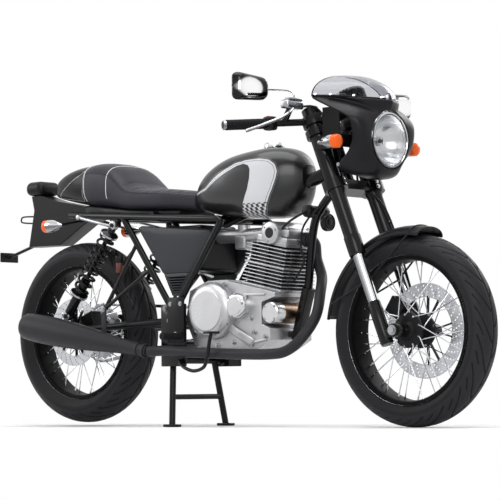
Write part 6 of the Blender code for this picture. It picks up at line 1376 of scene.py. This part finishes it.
# Side covers: moulded plastic panels with a soft sheen that close the frame's triangles,
# over the ribbed mouth of the air box
def moulded(shape, outline, face_y, back_y, crown, slot=0):
    """A plate moulded with soft edges, from its side-view outline of (x, z) corners."""
    middle_x = sum(x for x, z in outline) / len(outline)
    middle_z = sum(z for x, z in outline) / len(outline)
    soft = []
    for i, (x, z) in enumerate(outline):
        back_x, back_z = outline[i - 1]
        on_x, on_z = outline[(i + 1) % len(outline)]
        for near_x, near_z, share in ((back_x, back_z, 0.10), (back_x, back_z, 0.03),
                                      (on_x, on_z, 0.03), (on_x, on_z, 0.10)):
            soft.append((x + (near_x - x) * share, z + (near_z - z) * share))
    rows = []
    for size, inward in ((1.0, 1.0), (1.0, 0.22), (0.985, 0.10), (0.96, 0.035), (0.90, 0.0),
                         (0.60, -crown), (0.25, -crown * 1.5)):
        y = face_y + (back_y - face_y) * inward
        rows.append([at(middle_x + (x - middle_x) * size, y, middle_z + (z - middle_z) * size)
                     for x, z in soft])
    skin(shape, rows, slot)


cover_paint = finish("cover_paint", srgb(48, 50, 55), 0.34, 0.0, 800, 0.05, 0.04, 0.06, 5, 0.3)
for node, hand in (("side_cover_right", -1), ("side_cover_left", 1)):
    cover = bmesh.new()
    moulded(cover, [(0.359, 0.655), (0.474, 0.498), (0.599, 0.498), (0.694, 0.619),
                    (0.683, 0.633), (0.374, 0.6615)], hand * 0.1190, hand * 0.0905, 0.04)
    moulded(cover, [(0.472, 0.503), (0.512, 0.4255), (0.551, 0.4255), (0.601, 0.503)],
            hand * 0.1140, hand * 0.0905, 0.0)
    for k in range(8):
        rise = 0.4885 - 0.0590 * k / 7
        rear = 0.4830 + 0.0310 * k / 7
        front = 0.5905 - 0.0400 * k / 7
        slab(cover, (front - rear, 0.0060, 0.0038), at((rear + front) / 2, hand * 0.1148, rise),
             0, 0.0012, 2)
    piece(node + "_moulded", cover, "chassis", [cover_paint], node, angle=50)

# Tail: a boxed plastic fender under the cowl with its number plate bracket, and a black lamp
# pod with a red lens
refined("rear_fender", "chassis", [satin], 0.0035)
red = finish("red_lens", srgb(150, 12, 10), 0.12, 0.0, 300, 0.03, 0.2, 0.1, 60, 0.6)
pod = bmesh.new()
slab(pod, (0.084, 0.103, 0.049), at(-0.222, 0, 0.827), 0, 0.0225, 8)
slab(pod, (0.016, 0.078, 0.026), at(-0.2555, 0, 0.822), 0, 0.006, 4, 1)
piece("lamp_pod", pod, "chassis", [satin, red], "tail_lamp")

# Chain: a roller chain in bright steel, its side plates riveted over rollers one pitch apart,
# run from the gearbox sprocket to the rear one
REAR_TEETH = 0.098
FRONT_TEETH = 0.036
CHAIN_PITCH = 0.0159
line = []
rear = Vector((0, 0.320))
front = Vector((0.600, 0.350))
run = front - rear
lean = math.asin((REAR_TEETH - FRONT_TEETH) / run.length)
bearing = math.atan2(run.y, run.x)
straight = run.length * math.cos(lean)
rear_arc = REAR_TEETH * (math.pi + 2 * lean)
front_arc = FRONT_TEETH * (math.pi - 2 * lean)
total = 2 * straight + rear_arc + front_arc
count = 2 * round(total / CHAIN_PITCH / 2)
top_turn = bearing + math.pi / 2 - lean
low_turn = bearing - math.pi / 2 + lean
for i in range(count):
    walk = total * i / count
    if walk < rear_arc:
        turn = top_turn + walk / REAR_TEETH
        line.append(rear + Vector((math.cos(turn), math.sin(turn))) * REAR_TEETH)
    elif walk < rear_arc + straight:
        gone = walk - rear_arc
        line.append(rear + Vector((math.cos(low_turn), math.sin(low_turn))) * REAR_TEETH
                    + Vector((-math.sin(low_turn), math.cos(low_turn))) * gone)
    elif walk < rear_arc + straight + front_arc:
        turn = low_turn + (walk - rear_arc - straight) / FRONT_TEETH
        line.append(front + Vector((math.cos(turn), math.sin(turn))) * FRONT_TEETH)
    else:
        gone = walk - rear_arc - straight - front_arc
        line.append(front + Vector((math.cos(top_turn), math.sin(top_turn))) * FRONT_TEETH
                    + Vector((-math.sin(top_turn), math.cos(top_turn))) * gone)
links = bmesh.new()
for i, spot in enumerate(line):
    after = line[(i + 1) % count]
    bar(links, at(spot.x, 0.0722, spot.y), at(spot.x, 0.0838, spot.y), 0.0034, 10)
    middle = (spot + after) / 2
    step = after - spot
    for hand in (-1, 1):
        y = 0.078 + hand * (0.0053 if i % 2 else 0.0040)
        slab(links, (step.length + 0.0095, 0.0012, 0.0105 if i % 2 else 0.0095),
             at(middle.x, y, middle.y), -math.atan2(step.y, step.x), 0.0034, 2)
piece("drive_chain", links, "chassis", [machined], "chain")

# Stand, pegs and pedals: black steel bars, with rubber treads on the pegs and the pedal, each
# on a pivot at the frame's lower plates
stand = bmesh.new()
bar(stand, at(0.500, -0.1262, 0.216), at(0.500, 0.1262, 0.216), 0.0109, 28)
bar(stand, at(0.5121, -0.1145, 0.0972), at(0.5121, 0.1145, 0.0972), 0.0087, 24)
for hand in (-1, 1):
    bar(stand, at(0.500, hand * 0.098, 0.216), at(0.522, hand * 0.128, 0.006), 0.0104, 24)
    slab(stand, (0.059, 0.0275, 0.0088), at(0.522, hand * 0.128, 0.0046), 0, 0.0028, 2)
piece("stand_legs", stand, "stand", [satin], "centre_stand")
for node, hand in (("footpeg_right", -1), ("footpeg_left", 1)):
    peg = bmesh.new()
    slab(peg, (0.074, 0.0058, 0.145), at(0.552, hand * 0.1383, 0.347), 0, 0.0025, 2)
    for x, z in ((0.530, 0.398), (0.574, 0.398), (0.552, 0.300)):
        bolt(peg, at(x, hand * 0.1412, z), SIDEWAYS * hand, 0.0058, 2, 0.004)
    ribs = [(0, 0.0), (0.0100, 0.0), (0.0100, 0.022)]
    for k in range(12):
        spot = 0.024 + k * 0.0055
        ribs += [(0.0119, spot), (0.0119, spot + 0.0035), (0.0108, spot + 0.0040),
                 (0.0108, spot + 0.0052)]
    ribs += [(0.0119, 0.0900), (0.0105, 0.0915), (0, 0.0918)]
    lathe(peg, ribs, at(0.575, hand * 0.138, 0.292), SIDEWAYS * hand, 28, False, 1)
    piece(node + "_rubber", peg, "chassis", [satin, grip_rubber, bolt_chrome], node)
pedal = bmesh.new()
pivot = at(0.572, -0.1353, 0.210)
outer = pivot - SIDEWAYS * 0.018
bar(pedal, pivot, outer, 0.0088, 24)
hose(pedal, [outer + SIDEWAYS * 0.006, at(0.612, -0.160, 0.190), at(0.660, -0.168, 0.180),
             at(0.715, -0.182, 0.192), at(0.738, -0.190, 0.225), at(0.745, -0.190, 0.262),
             at(0.757, -0.1917, 0.300)], 0.0058, 8, 4)
slab(pedal, (0.0335, 0.0455, 0.0060), at(0.757, -0.1917, 0.2992), 0, 0.002)
for k in range(4):
    slab(pedal, (0.0320, 0.0040, 0.0018), at(0.757, -0.1917 + (k - 1.5) * 0.011, 0.3030), 0,
         0.0006, 1, 1)
piece("foot_brake", pedal, "chassis", [satin, grip_rubber], "brake_pedal")

# Horn and dial: a black steel horn with a stepped face on the downtube, and a round dial in
# a black pod at the top clamp
horn = bmesh.new()
lathe(horn, [(0, 0.0), (0.0120, 0.0), (0.0130, 0.006), (0.0270, 0.009), (0.0278, 0.011),
             (0.0278, 0.024), (0.0265, 0.027), (0.0220, 0.0255), (0.0190, 0.0275),
             (0.0110, 0.0265), (0.0080, 0.0278), (0, 0.0278)], at(1.06405, 0, 0.640), AHEAD, 48)
piece("horn_face", horn, "chassis", [satin], "horn")
refined("instruments", "steering", [satin], 0.004)
face = finish("dial_face", srgb(16, 16, 18), 0.3, 0.0, 300, 0.05, 0.02, 0.1, 20)
dial = bmesh.new()
dial_top = head_point(0.125, 0, 0.3046)
lathe(dial, [(0.0478, -0.004), (0.0478, 0.0), (0.0420, 0.0), (0.0410, -0.0025), (0.0410, -0.004)],
      dial_top, HEAD_AXIS, 64, True)
lathe(dial, [(0, 0.0004), (0.0400, 0.0004), (0.0400, 0.0), (0, 0.0)], dial_top, HEAD_AXIS, 64,
      False, 1)
piece("dial_rim", dial, "steering", [chrome, face])

# Cables and brake parts: rubber-sheathed hoses and a cable clipped to what they run along, the
# ignition coil, the rear brake's fluid cup on its stem, and plated struts at the tail
lines = bmesh.new()
CABLE_DOWN = ((1.0847, 0.6895), (1.0348, 0.6516), (1.0094, 0.6151), (1.0046, 0.5649),
              (1.0164, 0.5172))
hose(lines, [at(x, -0.040, z) for x, z in CABLE_DOWN] + [at(0.985, -0.055, 0.455)],
     0.0032, 8, 4)
bar(lines, at(1.034, -0.048, 0.676), at(1.034, 0.048, 0.676), 0.0190, 32, edge=0.003)
for side in (-0.030, 0.030):
    bar(lines, at(1.034, side - 0.004, 0.676), at(1.034, side + 0.004, 0.676), 0.0205, 32)
hose(lines, [at(1.034, -0.046, 0.676), at(1.010, -0.075, 0.655), at(0.965, -0.060, 0.640),
             at(0.915, -0.052, 0.610)], 0.0038, 8, 4)
piece("coil_and_cable", lines, "chassis", [satin])
lines = bmesh.new()
for hand in (-1, 1):
    hose(lines, [at(1.088, hand * 0.128, 0.995), at(1.120, hand * 0.095, 0.990),
                 at(1.150, hand * 0.060, 0.930), at(1.165, hand * 0.040, 0.850),
                 at(1.180, hand * 0.030, 0.770), head_point(0.020, hand * 0.030, 0.030)], 0.0036, 8,
         4)
hose(lines, [head_point(0.045, 0.050, 0.000), head_point(0.057, 0.075, -0.050),
             head_point(0.0545, 0.0907, -0.120), head_point(0.0520, 0.0907, -0.200),
             head_point(0.0450, 0.0907, -0.300), head_point(0.0450, 0.0850, -0.400)], 0.0032, 8, 4)
for rise in (-0.100, -0.190):
    bar(lines, head_point(0.045, 0.0907, rise), head_point(0.056, 0.0907, rise), 0.0050, 16, slot=1)
piece("brake_hoses", lines, "steering", [satin, bolt_chrome])
fluid = finish("brake_fluid", srgb(96, 60, 52), 0.25, 0.0, 300, 0.05, 0.05, 0.1, 40)
cup = bmesh.new()
cup_low = at(0.2841, -0.128, 0.509)
cup_high = at(0.2846, -0.128, 0.5655)
bar(cup, cup_low, cup_low.lerp(cup_high, 0.62), 0.0125, 28, edge=0.002, slot=1)
bar(cup, cup_low.lerp(cup_high, 0.60), cup_high, 0.0150, 28, edge=0.002)
bar(cup, cup_low.lerp(cup_high, 0.3), at(0.358, -0.118, 0.600), 0.0035, 12)
hose(cup, [cup_low, cup_low - Vector((0, 0, 0.03)), at(0.345, -0.126, 0.400)], 0.0035, 8, 4)
piece("fluid_cup", cup, "chassis", [satin, fluid])
strut = bmesh.new()
for hand in (-1, 1):
    bar(strut, at(0.095, hand * 0.136, 0.704), at(0.262, hand * 0.138, 0.664), 0.0052, 20,
        edge=0.001)
    bar(strut, at(0.099, hand * 0.100, 0.703), at(0.099, hand * 0.143, 0.703), 0.0085, 24,
        edge=0.001)
STRUT_ROUTE = ((-0.2269, 0.73), (-0.2888, 0.7314), (-0.3018, 0.7229), (-0.2941, 0.7119),
               (-0.2321, 0.7057))
hose(strut, [at(x, -0.030, z) for x, z in STRUT_ROUTE], 0.0028, 8, 4, 1)
piece("tail_struts", strut, "chassis", [machined, satin])

# Lesser pieces: cast and pressed brackets, calipers, levers and sprockets, bolted in place and
# kept in their own shapes with their edges rounded
PLAIN = (
    ("air_box", "chassis", satin, 0.004), ("front_caliper", "steering", satin, 0.003),
    ("rear_caliper", "chassis", satin, 0.003), ("gear_lever", "chassis", satin, 0.001),
    ("lamp_bracket", "steering", satin, 0.001), ("front_sprocket", "chassis", machined, 0.0006),
    ("rear_sprocket", "rear_wheel_set", machined, 0.0006),
)
for node, body, material, width in PLAIN:
    refined(node, body, [material], width)
